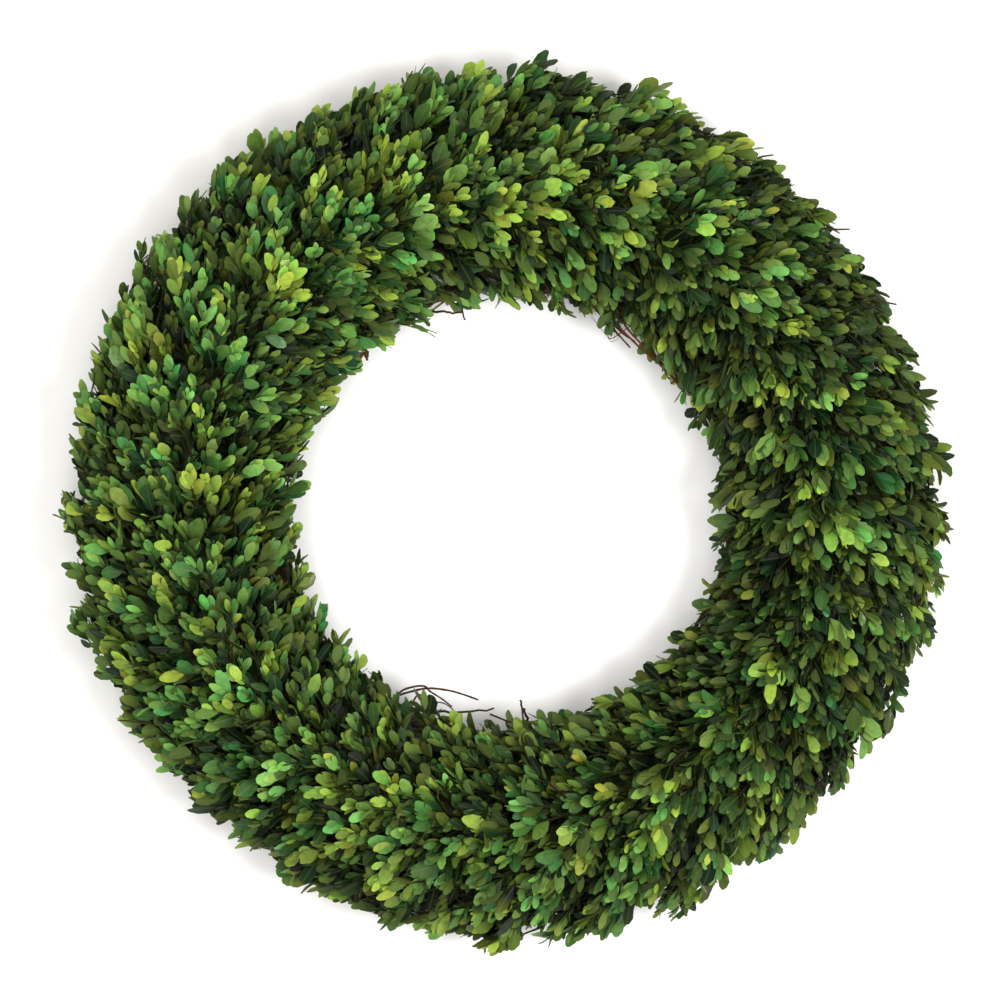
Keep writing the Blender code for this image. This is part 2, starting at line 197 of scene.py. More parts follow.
DARKEST_AT_DEG = 330.0
LOWER_RIGHT_DARKER = 0.34
CREST_PAINTED_LIGHT = 0.68
CREST_UNEVEN = 0.14
CREST_PALEST_AT_DEG = 50.0
PALE_PHI_DEG = 92.0
CREST_WIDTH_DEG = 25.0
SHADE_CLUSTERING = 0.40
SHADE_FROM = -0.008
SHADE_TO = 0.0175
LEAF_EVENNESS = 0.65
SHADE_DEPTH = 0.21
SHADE_POWER = np.array((5.3, 4.8, 4.9))

# Clumps that catch the eye: ring angle and section angle in degrees
FRESH_CLUMPS = ((75, 85), (85, 125), (110, 80), (135, 100), (155, 60), (180, 130), (245, 60), (310, 50))
EMERALD_CLUMPS = ((60, 75), (120, 75), (160, 130), (215, 50), (290, 60), (350, 20))
# Hollows darkened with painted shade
SHADED_HOLLOWS = ((335, 50), (100, 130), (300, 115), (320, 80), (345, 140))

# Slow waves round the ring, as turns round it and turns across it
LOBE_TURNS = (20, 52)
CLUSTER_TURNS = (17, 42)
WAVE_TILT = 7.0
WAVES = 9

# Colours that no user would change
STEM_GREEN = "#39431e"
STEM_BROWN = "#35301a"

# Heart of each bunch: the dark tangle behind the leaves
HEART_INSET = 0.0085
HEART_STEPS = 9
HEART_SKIN_STEPS = 8
HEART_OVERLAP = 0.006
HEART_FLOOR = 0.0075
HEART_LUMP = 0.0016

# Vine hoop, its thin runners and its side shoots
HOOP_R = 0.172
HOOP_Z = 0.0242
STRANDS = 5
STRAND_R = 0.0070
STRAND_HELIX_R = 0.0132
STRAND_TWISTS = 4
STRAND_STEPS = 240
STRAND_SIDES = 10
CORE_INSET = 1.2  # in runner radii
RIDGES = 3
RIDGE_TWISTS = 5
RIDGE_HEIGHT = 0.06
BARK_UNEVEN = 0.05
HOOP_SEED = 10
RUNNERS = 2
RUNNER_TURNS = (17, 23)
RUNNER_STEPS = 260
RUNNER_SIDES = 6
RUNNER_SHADES = (0.8, 1.25)
SHOOT_STEPS = 14
SHOOT_SIDES = 6
SHOOT_LEAD = 0.08
SHOOT_TAPER = (1.1, 0.6)
SHOOT_SHADE = 0.6
CROOK = 0.0005  # how crooked shoots and twigs are

# Side shoots: ring angles of root and tip, how far the tip reaches into the hole, and its height
SHOOTS = (
    (116.0, 102.3, 0.0315, 0.036),
    (50.0, 34.4, 0.0285, 0.034),
    (242.0, 267.6, 0.0357, 0.030),
    (277.5, 275.5, 0.0425, 0.040),
    (298.0, 294.5, 0.0310, 0.036),
)

# How uneven the vines are: by how much, and in how many turns round the hoop
GNARLS = {
    "strand": (0.05, (20, 60)),
    "winding": (0.5, (5, 20)),
    "lift": (0.04, (8, 30)),
    "runner": (0.10, (30, 90)),
}

# Loose tendrils at the hole's rim
TENDRIL_TAPER = (1.15, 0.8)
TENDRIL_KNOTS = 0.12
TENDRIL_WAVER = 0.001
SPAN_STEPS = 5
TENDRIL_TONES = {"red": "#5c351c", "brown": "#3f2a1c", "green": "#5f6d2f"}

# Each tendril's bark tone, radius and height, then a route, all in millimetres
TENDRILS = (
    ("brown", 0.85, 38, ((-72, -135), (-61, -131), (-50, -129), (-37, -130.5), (-27, -133), (-16, -137))),
    ("brown", 0.75, 41, ((-70, -132), (-61, -128), (-53, -127.5), (-49, -131), (-41, -136), (-34, -141.5))),
    ("red", 0.60, 36, ((-58, -134), (-50, -138), (-40, -139.5), (-33, -144))),
    ("brown", 0.85, 36, ((9, -155), (3, -151.5), (-8, -147))),
    ("brown", 0.80, 44, ((15.5, -156), (14.9, -150), (13.4, -137.3))),
    ("red", 1.60, 40, ((-85, 121), (-91, 111), (-94, 103.5), (-98, 97), (-106, 92))),
    ("red", 1.10, 42, ((-108, 110), (-102, 106.5), (-94, 102), (-92, 96))),
    ("red", 1.60, 40, ((-83, 127), (-77, 121.5), (-74, 118.5))),
    ("red", 0.90, 40, ((-68, 130), (-62, 127), (-55, 127), (-46.5, 131.5), (-39, 137))),
    ("red", 0.70, 37, ((-66, 134), (-59, 131), (-50, 133), (-44, 138))),
    ("green", 0.50, 42, ((-72, 122), (-62, 119.5), (-53.5, 118), (-44, 114.5))),
    ("green", 0.45, 42, ((-72, 122.5), (-62, 119.2), (-54, 116.8), (-49, 114.4), (-45, 111.7))),
    ("brown", 0.70, 46, ((-30, 147), (-29, 140), (-25.8, 125.5), (-24.8, 124))),
    ("brown", 0.80, 42, ((58, 136), (65, 130.4), (76, 119.3), (79, 115), (88.3, 104.7))),
    ("brown", 0.80, 38, ((72, 126), (80, 118), (85, 113.5), (92, 109))),
    ("red", 0.90, 42, ((80, 121), (90, 109.6), (97, 103), (103.6, 97.3), (112, 91))),
    ("red", 0.80, 40, ((84, 122), (93, 110.5), (100, 104), (107, 96.5), (115, 92))),
    ("red", 1.00, 40, ((107, 97), (115, 87), (121, 80.5), (127, 74))),
    ("brown", 0.80, 42, ((118, 92), (120, 84), (117, 80.5))),
)

# Stem ends tied along the hoop, by the angles in its section that each row's stems take
TIED_STEMS = 5
TIED_R = 0.0209
TIED_ANGLES_DEG = {"outer": (-75.0, 25.0), "crest": (40.0, 110.0), "inner": (205.0, 250.0)}
TIED_SPOT = (0.2, 0.8)
TIED_START = (0.0, 0.5)
TIED_SPAN = 1.1
TIED_DRIFT = 0.25
TIED_STEPS = 9
TIED_RADIUS = (0.0008, 0.0012)
TIED_TAPER = (1.0, 0.8)

# Bare twig tips round the outside
TWIG_DEGS = (31.0, 42.6, 56.4, 106.5, 207.4, 214.3)
TWIG_STEPS = 7
TWIG_RADIUS = (0.0011, 0.0005)
TWIG_LENGTH = 0.044
TWIG_SINK = 0.008
TWIG_PHI_DEG = 24.0
TWIG_LEAN_DEG = 48.0

# Tie wire
WIRE_COIL_R = 0.0222
WIRE_STEPS_PER_TURN = 28
WIRE_SIDES = 6
WIRE_LOOP_DEG = 58.0
WIRE_LOOP_REACH = 0.011
WIRE_LOOP_SHARPNESS = 3
THREAD_RADIUS = 0.00013
THREAD_HEIGHT = 0.034

# Routes of the loose threads, in millimetres
THREADS = (
    ((57, 131.5), (67.5, 119.5), (74.5, 110.5), (76.6, 109.3), (77.8, 111.8), (77.6, 117), (80, 122)),
    ((60, 131), (66, 121.5), (72.6, 112.9), (76.0, 109.5), (80, 111.5), (81.5, 118), (82, 122)),
)

# Stage, with each soft light's size and place
CAMERA_XY = (-0.0010, 0.0003)
FRAME_WIDTH = 0.685
FRAME_AT_Z = 0.045
SENSOR_MM = 36.0
FLOOR_SIZE = 14.0
SKY_TINT = "#fff6e8"
SOFT_LIGHTS = {
    "main": (0.85, (1.12, -0.26, 2.1)),
    "fill": (1.5, (-0.46, 0.42, 2.3)),
    "low": (1.5, (-0.45, -0.85, 2.2)),
}

# Patterns of leaf and bark
VEINS = 13  # along a leaf
VEIN_SLOPE = -0.32
RIB_GROOVE = -3.0  # in heights of a side vein
UNDERSIDE_PALER = 0.32
UNDERSIDE_ROUGHER = 0.22
FIBRES_ROUND = 2.4  # across a stem
SCUFF_SHARE = 0.4

# Sockets of the colour Mix node
MIX_A, MIX_B, MIX_COLOUR = 6, 7, 2


def linear(hex_text):
    """Turn an sRGB hex colour into linear red, green and blue."""
    shares = [int(hex_text[i : i + 2], 16) / 255 for i in (1, 3, 5)]
    return tuple(c / 12.92 if c <= 0.04045 else ((c + 0.055) / 1.055) ** 2.4 for c in shares)


def unit(vectors):
    """Scale vectors to length one."""
    return vectors / np.linalg.norm(vectors, axis=-1, keepdims=True)


def dot(a, b):
    """Dot product of vectors, kept as a last axis of one."""
    return (a * b).sum(-1, keepdims=True)


def side_by_side(*parts):
    """Put numbers beside each other in a new last axis, all spread to one shape."""
    return np.stack(np.broadcast_arrays(*parts), axis=-1)


def full_turn(steps):
    """So many evenly spaced angles round a full turn."""
    return math.tau * np.arange(steps) / steps


# Settings that a user would change


class FoliageSettings(bpy.types.PropertyGroup):
    """Sizes and colours of the leafy sprigs."""

    leaf_length: FloatProperty(
        name="Leaf length", description="Length of a common leaf", default=0.0135, unit="LENGTH"
    )
    sprig_spacing: FloatProperty(
        name="Sprig spacing", description="From one sprig to the next", default=0.0103, unit="LENGTH"
    )
    sprig_lean: FloatProperty(
        name="Sprig lean",
        description="Angle at which the sprigs rise from the ring",
        default=math.radians(34.0),
        subtype="ANGLE",
    )
    lobe_height: FloatProperty(
        name="Lobe height", description="How far the tufts rise and sink", default=0.0044, unit="LENGTH"
    )
    deep_green: FloatVectorProperty(
        name="Deep green", description="Older leaves", default=linear("#112813"), subtype="COLOR"
    )
    mid_green: FloatVectorProperty(
        name="Mid green", description="Most leaves", default=linear("#3a612d"), subtype="COLOR"
    )
    olive_green: FloatVectorProperty(
        name="Olive green", description="Leaves that lost dye", default=linear("#435d2e"), subtype="COLOR"
    )
    fresh_green: FloatVectorProperty(
        name="Fresh green", description="Yellow-green leaves", default=linear("#798f33"), subtype="COLOR"
    )
    emerald_green: FloatVectorProperty(
        name="Emerald green", description="Leaves with more dye", default=linear("#1f5427"), subtype="COLOR"
    )


class HoopSettings(bpy.types.PropertyGroup):
    """Sizes and colours of the vine hoop, twigs and wire."""

    runner_radius: FloatProperty(
        name="Runner radius", description="Thin vines round each strand", default=0.0016, unit="LENGTH"
    )
    shoot_radius: FloatProperty(
        name="Shoot radius", description="Side shoots at the hole's rim", default=0.0011, unit="LENGTH"
    )
    wire_radius: FloatProperty(
        name="Wire radius", description="Radius of the tie wire", default=0.0004, unit="LENGTH"
    )
    bark_colour: FloatVectorProperty(
        name="Bark", description="Red-brown vine bark", default=linear("#4b3a2b"), subtype="COLOR"
    )
    wire_colour: FloatVectorProperty(
        name="Wire", description="Blackened iron wire", default=linear("#4b4540"), subtype="COLOR"
    )


class StageSettings(bpy.types.PropertyGroup):
    """Camera, lights and floor."""

    camera_height: FloatProperty(
        name="Camera height", description="Height above the ring's widest part", default=2.2, unit="LENGTH"
    )
    main_light: FloatProperty(
        name="Main light", description="Power of the light at the right", default=47.5, unit="POWER"
    )
    fill_light: FloatProperty(
        name="Fill light", description="Power of the light at the upper left", default=31.5, unit="POWER"
    )
    low_light: FloatProperty(
        name="Low light", description="Power of the light at the lower left", default=24.0, unit="POWER"
    )
    sky_light: FloatProperty(
        name="Surrounding light", description="Strength of the even light from all round", default=0.33
    )
    floor_colour: FloatVectorProperty(
        name="Floor", description="Pale paper floor", default=linear("#f0f0ef"), subtype="COLOR"
    )


# Meshes


class PieceMesh:
    """Points, faces and marks gathered for one piece.

    A point's tint is its colour, with the side of the leaf as the fourth value.
    Its lay is where it is on its leaf or stem: across, along, and one random number for the whole leaf.
    """

    def __init__(self):
        self.points, self.tints, self.lays = [], [], []
        self.faces, self.slots = [], []
        self.count = 0

    def add(self, points, faces, slot, tints, lays):
        """Add points (n, 3) and lists of faces that count from these points."""
        self.points.append(points.reshape(-1, 3))
        self.tints.append(tints.reshape(-1, 4))
        self.lays.append(lays.reshape(-1, 3))
        for block in faces:
            self.faces.append(block.reshape(-1, block.shape[-1]) + self.count)
            self.slots.append(np.full(len(self.faces[-1]), slot))
        self.count += len(self.points[-1])

    def build(self, name, materials):
        """Make the object and link it to the scene."""
        sizes = np.concatenate([np.full(len(f), f.shape[1]) for f in self.faces])
        corners = np.concatenate([f.ravel() for f in self.faces])
        mesh = bpy.data.meshes.new(name)
        mesh.vertices.add(self.count)
        mesh.vertices.foreach_set("co", np.concatenate(self.points).ravel())
        mesh.loops.add(len(corners))
        mesh.loops.foreach_set("vertex_index", corners)
        mesh.polygons.add(len(sizes))
        mesh.polygons.foreach_set("loop_start", np.cumsum(sizes) - sizes)
        mesh.polygons.foreach_set("material_index", np.concatenate(self.slots))
        mesh.update(calc_edges=True)
        tint = mesh.attributes.new("tint", "FLOAT_COLOR", "POINT")
        tint.data.foreach_set("color", np.concatenate(self.tints).ravel())
        lay = mesh.attributes.new("lay", "FLOAT_VECTOR", "POINT")
        lay.data.foreach_set("vector", np.concatenate(self.lays).ravel())
        mesh.set_sharp_from_angle(angle=math.radians(SHARP_DEG))
        for material in materials:
            mesh.materials.append(material)
        obj = bpy.data.objects.new(name, mesh)
        bpy.context.scene.collection.objects.link(obj)
        return obj


def finish_piece(piece, name, materials, node):
    """Make the object with its materials, say what it rides on, and hide the solid it stands for."""
    obj = piece.build(name, materials)
    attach(obj, BODY)
    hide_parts(node)


def ring_point(r, z, theta):
    """Place points of the ring's section, with the hole's shift fading out to the rim."""
    offset = HOLE_SHIFT[0] * np.cos(theta) + HOLE_SHIFT[1] * np.sin(theta)
    r = r + offset * np.clip((OUTER_R - r) / (OUTER_R - SHIFT_FULL_R), 0.0, 1.0)
    return side_by_side(r * np.cos(theta), r * np.sin(theta), z)


def skin_section(phi, inset=0.0):
    """The skin in the section: phi is 0 at the outside and a quarter turn on top."""
    rise = np.where(phi > 0, SKIN_RISE, SKIN_DROP) - inset
    r = SKIN_R + (SKIN_HALF_WIDTH - inset) * np.cos(phi)
    return r, SKIN_Z + rise * np.sin(phi)


def slant_shift(r, z):
    """How far a point is turned clockwise by the bunches' slant."""
    height = np.hypot(r - HOOP_R, z - HOOP_Z) - SLANT_FROM
    return -SLANT * np.maximum(height, 0.0) / r


def bunch_span(row, station):
    """The ring angles that a bunch starts and ends at, clockwise from the top."""
    step = math.tau / STATIONS
    start = math.pi / 2 - (station + ROWS[row]["turn"]) * step
    return start, start - step


def ring_axes(theta):
    """Away from the centre and clockwise, at each ring angle."""
    cos, sin = np.cos(theta), np.sin(theta)
    return side_by_side(cos, sin, 0.0), side_by_side(sin, -cos, 0.0)


def slow_waves(rng, turns):
    """Draw waves whose crests run across the ring."""
    around = rng.integers(turns[0], turns[1], WAVES)
    tilt = rng.uniform(-WAVE_TILT, WAVE_TILT, WAVES)
    return around, tilt, rng.uniform(0.0, math.tau, WAVES)


def wave_height(waves, theta, phi):
    """Add the waves up, to a spread of about one."""
    around, tilt, phase = waves
    total = np.cos(theta[:, None] * around + phi[:, None] * tilt + phase).sum(-1)
    return total / math.sqrt(WAVES / 2)


LOBES = slow_waves(np.random.default_rng(SEED), LOBE_TURNS)
FRESH_CLUSTERS, EMERALD_CLUSTERS, SHADE_CLUSTERS, SIZE_CLUSTERS = (
    slow_waves(np.random.default_rng(SEED + step), CLUSTER_TURNS) for step in range(1, 5)
)


def degrees_off(theta, degrees):
    """How far round the ring a place is from an angle, at most half a turn either way."""
    return (np.degrees(theta) - degrees + 180.0) % 360.0 - 180.0


def clump_height(clumps, theta, phi):
    """How near each place is to the nearest of some clumps, from nothing to one."""
    ring, section = np.array(clumps, dtype=float).T
    round_ring = degrees_off(theta[:, None], ring)
    across = np.degrees(phi)[:, None] - section
    off = (round_ring / CLUMP_SIZE_DEG[0]) ** 2 + (across / CLUMP_SIZE_DEG[1]) ** 2
    return np.exp(-off.min(1))


def swell_height(theta, phi):
    """How far the foliage stands out further, or less, than the even ring."""
    total = np.zeros(len(theta))
    for swells, (low, high) in ((OUTER_SWELLS, OUTER_SWELL_PHI), (RIM_SWELLS, RIM_SWELL_PHI)):
        across = np.exp(-(((np.degrees(phi) - (low + high) / 2) / (high - low)) ** 2) * SWELL_FALLOFF)
        for degrees, width, height in swells:
            total += height * across * np.exp(-((degrees_off(theta, degrees) / width) ** 2))
    return total


def jittered_rows(columns, stagger, rng):
    """Jittered places in rows: where each lies across the rows, and its share along its own."""
    rows, shares = [], []
    for row, count in enumerate(columns):
        jitter = rng.uniform(-SPOT_JITTER, SPOT_JITTER, (2, count))
        shift = stagger if row % 2 else -stagger
        rows.append(row + 0.5 + jitter[0])
        shares.append((np.arange(count) + 0.5 + jitter[1] + shift) / count)
    return np.concatenate(rows), np.concatenate(shares)


def skin_spots(row, start, end, spacing, rng):
    """Jittered places for sprigs on a bunch's skin, as section angles and ring angles."""
    low, high = np.radians(ROWS[row]["phi"])
    high = math.radians(HANG_PHI_DEG) if row == "inner" else high
    lines = round((high - low) * (SKIN_HALF_WIDTH + SKIN_RISE) / 2 / spacing)
    r, _ = skin_section(low + (high - low) * (np.arange(lines) + 0.5) / lines)
    columns = np.rint(r * (start - end) / spacing).astype(int)
    across, share = jittered_rows(columns, ROW_STAGGER, rng)
    phi = low + (high - low) * across / lines
    return phi, start + (end - start) * share + slant_shift(*skin_section(phi))


def skin_places(phi, theta, settings, rng):
    """Points and directions of sprigs on the skin."""
    radial, clockwise = ring_axes(theta)
    rise = np.where(phi > 0, SKIN_RISE, SKIN_DROP)[:, None]
    cos, sin = np.cos(phi)[:, None], np.sin(phi)[:, None]
    outward = unit(radial * cos / SKIN_HALF_WIDTH + UP * sin / rise)
    along = radial * SKIN_HALF_WIDTH * sin - UP * rise * cos
    outside = np.tanh((PARTING_PHI_DEG - np.degrees(phi)) / PARTING_WIDTH_DEG)
    outside = outside * np.where(cos[:, 0] > 0, (1 + sin[:, 0]) / 2, 1.0)
    lobes = wave_height(LOBES, theta, phi) * settings.lobe_height
    rim = np.clip((np.degrees(phi) - RIM_PHI_DEG) / (RIM_FULL_DEG - RIM_PHI_DEG), 0.0, 1.0)
    lift = STEM_TIP_HEIGHT + RIM_HEIGHT * rim + lobes + swell_height(theta, phi)
    return {
        "theta": theta,
        "phi": phi,
        "fresh": np.zeros(len(phi)),
        "point": ring_point(*skin_section(phi), theta),
        "outward": outward,
        "clockwise": clockwise,
        "away": unit(along),
        "lean": settings.sprig_lean + np.radians(rng.normal(0, LEAN_SPREAD_DEG, len(phi))),
        "splay": np.radians(SPLAY_DEG * outside + rng.normal(0, SPLAY_SPREAD_DEG, len(phi))),
        "height": lift + rng.normal(0, STEM_TIP_SPREAD, len(phi)),
        "upturn": OUTSIDE_UPTURN * np.maximum(cos, 0.0),
    }


def stray_places(start, end, settings, rng):
    """The same for the sprigs of a bunch that stand out into the hole."""
    degrees, phi, height, fresh = np.array(STRAY_SPRIGS).T
    theta = np.radians(degrees)
    there = (start - theta) % math.tau < start - end
    places = skin_places(np.radians(phi[there]), theta[there], settings, rng)
    places["height"] = height[there]
    places["fresh"] = fresh[there]
    return places


def under_places(start, end, rng):
    """The same for the flat spots and the slope under the outer row, where leaves lie close."""
    rim_r, rim_z = skin_section(math.radians(ROWS["outer"]["phi"][0]))
    r = UNDER_FROM_R + (rim_r - UNDER_FROM_R) * (np.arange(UNDER_LINES) + 0.5) / UNDER_LINES
    columns = np.rint(r * (start - end) / UNDER_SPACING).astype(int)
    across, share = jittered_rows(columns, 0.0, rng)
    theta = start + (end - start) * share
    radial, clockwise = ring_axes(theta)
    r = UNDER_FROM_R + (rim_r - UNDER_FROM_R) * across / UNDER_LINES
    slope = np.clip((r - FLAT_SPOT_R) / (rim_r - FLAT_SPOT_R), 0.0, 1.0)
    away = unit(radial * (rim_r - FLAT_SPOT_R) + UP * rim_z * (slope > 0)[:, None])
    count = len(theta)
    return {
        "theta": theta,
        "phi": np.full(count, np.radians(ROWS["outer"]["phi"][0])),
        "fresh": np.zeros(count),
        "point": ring_point(r, UNDER_Z + (rim_z - UNDER_Z) * slope, theta),
        "outward": unit(np.cross(away, clockwise)),
        "clockwise": clockwise,
        "away": away,
        "lean": np.radians(rng.normal(UNDER_LEAN_DEG, LEAN_SPREAD_DEG / 2, count)),
        "splay": np.radians(rng.normal(UNDER_SPLAY_DEG, SPLAY_SPREAD_DEG, count)),
        "height": np.zeros(count),
        "upturn": np.zeros((count, 1)),
    }


def stem_axes(places):
    """The way each stem's tip points."""
    splay, lean = places["splay"][:, None], places["lean"][:, None]
    sweep = places["clockwise"] * np.cos(splay) + places["away"] * np.sin(splay)
    return sweep * np.cos(lean) + places["outward"] * np.sin(lean)


def stem_point(places, axis, back):
    """A point of each stem this far back from its tip, and the stem's way there."""
    tip = places["point"] + places["outward"] * places["height"][:, None]
    bow = STEM_CURVE * back**2
    point = tip[:, None] - axis[:, None] * back + places["outward"][:, None] * bow
    way = unit(axis[:, None] - places["outward"][:, None] * 2 * STEM_CURVE * back)
    return point, way


def leaf_colours(places, shape, settings, rng):
    """Draw the leaves' colours, each partly its sprig's, with fresh and emerald sprigs in clusters."""
    palette = np.array([getattr(settings, name)[:] for name in PALETTE_SHARES])
    weights = np.tile(list(PALETTE_SHARES.values()), (shape[0], 1))
    where = places["theta"], places["phi"]
    fresh = wave_height(FRESH_CLUSTERS, *where) + CLUMP_PULL * clump_height(FRESH_CLUMPS, *where)
    emerald = wave_height(EMERALD_CLUSTERS, *where) + CLUMP_PULL * clump_height(EMERALD_CLUMPS, *where)
    weights[:, FRESH] *= np.exp(fresh + places["fresh"])
    weights[:, EMERALD] *= np.exp(emerald)
    limits = (np.cumsum(weights, axis=1) / weights.sum(1, keepdims=True))[:, None, None, :-1]
    sprig = palette[(rng.uniform(0, 1, (shape[0], 1, 1, 1)) > limits).sum(-1)]
    own = palette[(rng.uniform(0, 1, (*shape, 1)) > limits).sum(-1)]
    share = rng.uniform(*LEAF_OWN_SHARE, (*shape, 1))
    return sprig * (1 - share) + own * share


def ring_tone(theta, phi):
    """How pale leaves are by place: darker towards the lower right, with painted light on the crest,
    painted shade in hollows, and clusters of painted shade and light.
    """
    # Darker towards the lower right of the ring
    tone = -LOWER_RIGHT_DARKER * np.cos(theta - math.radians(DARKEST_AT_DEG))
    # Painted light on the crest, the ring's top, strongest towards the upper right
    crest_light = CREST_PAINTED_LIGHT + CREST_UNEVEN * np.cos(theta - math.radians(CREST_PALEST_AT_DEG))
    tone += crest_light * np.exp(-(((np.degrees(phi) - PALE_PHI_DEG) / CREST_WIDTH_DEG) ** 2))
    # Painted shade in the hollows
    tone -= CLUMP_SHADE * clump_height(SHADED_HOLLOWS, theta, phi)
    return np.exp(tone + SHADE_CLUSTERING * wave_height(SHADE_CLUSTERS, theta, phi))


def draw_leaves(places, settings, rng):
    """Set crossed pairs of leaves along every stem: roots, directions, sizes, bends and colours."""
    count, pairs = len(places["theta"]), len(PAIR_STEPS)
    shape = (count, pairs, 2)
    axis = stem_axes(places)
    back = np.array(PAIR_STEPS) * rng.uniform(*PAIR_STEP_SPREAD, (count, pairs))
    root, way = stem_point(places, axis, back[..., None])
    outward = places["outward"][:, None]
    first = unit(outward - dot(outward, way) * way)
    second = np.cross(way, first)
    turn = rng.normal(*PAIR_TURN_DEG, (count, 1, 1)) + 90.0 * np.arange(pairs)[:, None]
    turn = np.radians(turn + 180.0 * np.arange(2) + rng.normal(0, PAIR_JITTER_DEG, shape))[..., None]
    spread = np.array(PAIR_SPREADS_DEG)[:, None] + rng.normal(0, PAIR_JITTER_DEG / 2, shape)
    spread = np.radians(spread)[..., None]
    aside = first[:, :, None] * np.cos(turn) + second[:, :, None] * np.sin(turn)
    way, outward = way[:, :, None], outward[:, :, None]
    direction = way * np.cos(spread) + aside * np.sin(spread)
    vigour = np.exp(LEAF_LENGTH_CLUSTERING * wave_height(SIZE_CLUSTERS, places["theta"], places["phi"]))
    length = settings.leaf_length * np.array(PAIR_SIZES)[:, None] * vigour[:, None, None]
    length = np.clip(length * rng.normal(1.0, LEAF_LENGTH_SPREAD, shape), *LEAF_LENGTH_LIMITS)
    root = np.broadcast_to(root[:, :, None], direction.shape)
    lowest = (2 * FLOOR_GAP - root[..., 2]) / length
    direction[..., 2] = np.maximum(direction[..., 2], lowest)
    direction = unit(direction)
    facing = rng.normal(*FACE_OUT, shape)[..., None]
    up = unit(way - dot(way, direction) * direction) * (1 - facing)
    light = unit(outward + UP * places["upturn"][:, None, None])
    up = up + unit(light - dot(light, direction) * direction) * facing
    up = unit(up - dot(up, direction) * direction)
    up = np.where(rng.uniform(0, 1, shape)[..., None] < TURNED_OVER, -up, up)
    tint = leaf_colours(places, shape, settings, rng)
    fresh = np.array(TIP_FRESHNESS)[:, None, None] * rng.uniform(*FRESHNESS_SPREAD, (count, 1, 1, 1))
    tint = tint * (1 - fresh) + np.array(settings.fresh_green) * fresh
    # Painted shade and light by pair: pairs near the tip brighter, pairs deep in the sprig darker
    shade = np.array(PAIR_PAINTED_SHADES)[:, None] * np.exp(rng.normal(0, SHADE_SPREAD, shape))
    shade = np.minimum(shade, BRIGHTEST_SHADE)
    shade = (shade * ring_tone(places["theta"], places["phi"])[:, None, None])[..., None] * np.ones(3)
    shade[..., 0] *= np.exp(rng.normal(0, RED_SPREAD, shape))
    seen = (dot(direction, outward)[..., 0] > HIDDEN_BELOW).ravel()
    leaves = {
        "root": root,
        "direction": direction,
        "up": up,
        "tint": tint * shade,
        "length": length,
        "width": length * rng.uniform(*LEAF_SLIM, shape),
        "arch": rng.normal(*LEAF_ARCH, shape),
        "fold": rng.normal(*LEAF_FOLD, shape),
        "twist": rng.normal(0, LEAF_TWIST, shape),
        "oval": rng.uniform(0, 1, shape),
        "random": rng.uniform(0, 1, shape),
        "skin": np.broadcast_to(places["point"][:, None, None], direction.shape),
        "outward": np.broadcast_to(outward, direction.shape),
    }
    return {k: v.reshape(seen.size, *v.shape[3:])[seen] for k, v in leaves.items()}


def leaf_outline(oval):
    """Each point's share along, across and through a leaf: root, tip, then four at each step."""
    steps = len(LEAF_ALONG)
    along = np.concatenate(((0.0, 1.0), np.repeat(LEAF_ALONG, 4)))
    side = np.concatenate(((0.0, 0.0), np.tile((-1.0, 1.0, 0.0, 0.0), steps)))
    half = LEAF_SPOON + (LEAF_OVAL - LEAF_SPOON) * oval[:, None]
    across = side * np.concatenate((np.zeros((len(oval), 2)), np.repeat(half, 4, axis=1)), axis=1)
    through = np.concatenate(((0.0, 0.0), np.tile((0.0, 0.0, 1.0, -1.0), steps)))
    return along, across, through


def leaf_faces():
    """The triangles and quads of one leaf, top and underside."""
    triangles, quads = [], []
    first, last = 2, 2 + 4 * (len(LEAF_ALONG) - 1)
    for middle in (2, 3):
        side = [
            [(0, first + 1, first + middle), (0, first + middle, first)],
            [(last + 1, 1, last + middle), (last + middle, 1, last)],
        ]
        strips = []
        for a in range(first, last, 4):
            b = a + 4
            strips.append((a + 1, b + 1, b + middle, a + middle))
            strips.append((a + middle, b + middle, b, a))
        flip = 1 if middle == 2 else -1
        triangles += [face[::flip] for pair in side for face in pair]
        quads += [face[::flip] for face in strips]
    return np.array(triangles), np.array(quads)


def leaf_points(leaves):
    """Bend the outline by each leaf's arch, fold and twist, and stand it at its root."""
    along, across, through = leaf_outline(leaves["oval"])
    arch = leaves["arch"][:, None]
    arch = np.where(np.abs(arch) < LEAST_ARCH, LEAST_ARCH, arch)
    length, half = leaves["length"][:, None], leaves["width"][:, None] / 2
    bend, roll = arch * along, leaves["twist"][:, None] * along
    sideways = across * half
    rise = through * LEAF_THICKNESS / 2 + np.abs(sideways) * leaves["fold"][:, None]
    x = sideways * np.cos(roll) - rise * np.sin(roll)
    lift = sideways * np.sin(roll) + rise * np.cos(roll)
    y = length * np.sin(bend) / arch + lift * np.sin(bend)
    z = length * (np.cos(bend) - 1) / arch + lift * np.cos(bend)
    side = np.cross(leaves["direction"], leaves["up"])
    points = leaves["root"][:, None] + x[..., None] * side[:, None]
    return points + y[..., None] * leaves["direction"][:, None] + z[..., None] * leaves["up"][:, None]


def keep_in_reach(points, furthest=LEAF_REACH_R):
    """Shift leaves or stems that would pass the floor, the ring's outer reach or its top."""
    low, high = points[..., 2].min(1), points[..., 2].max(1)
    points[..., 2] += np.maximum(FLOOR_GAP - low, 0.0)[:, None]
    points[..., 2] -= np.maximum(high - LEAF_REACH_Z, 0.0)[:, None]
    reach = np.hypot(points[..., 0], points[..., 1]).max(1)
    share = np.minimum(furthest / reach, 1.0)
    middle = points.mean(1)
    points[..., :2] -= (middle * (1 - share)[:, None])[:, None, :2]
    return points


def soften_brightest(colours):
    """Hold the palest colours back, and leave the darker ones nearly as they are."""
    share = dot(colours, LUMINANCE) / PALEST_LEAF
    return colours * np.tanh(share) / share


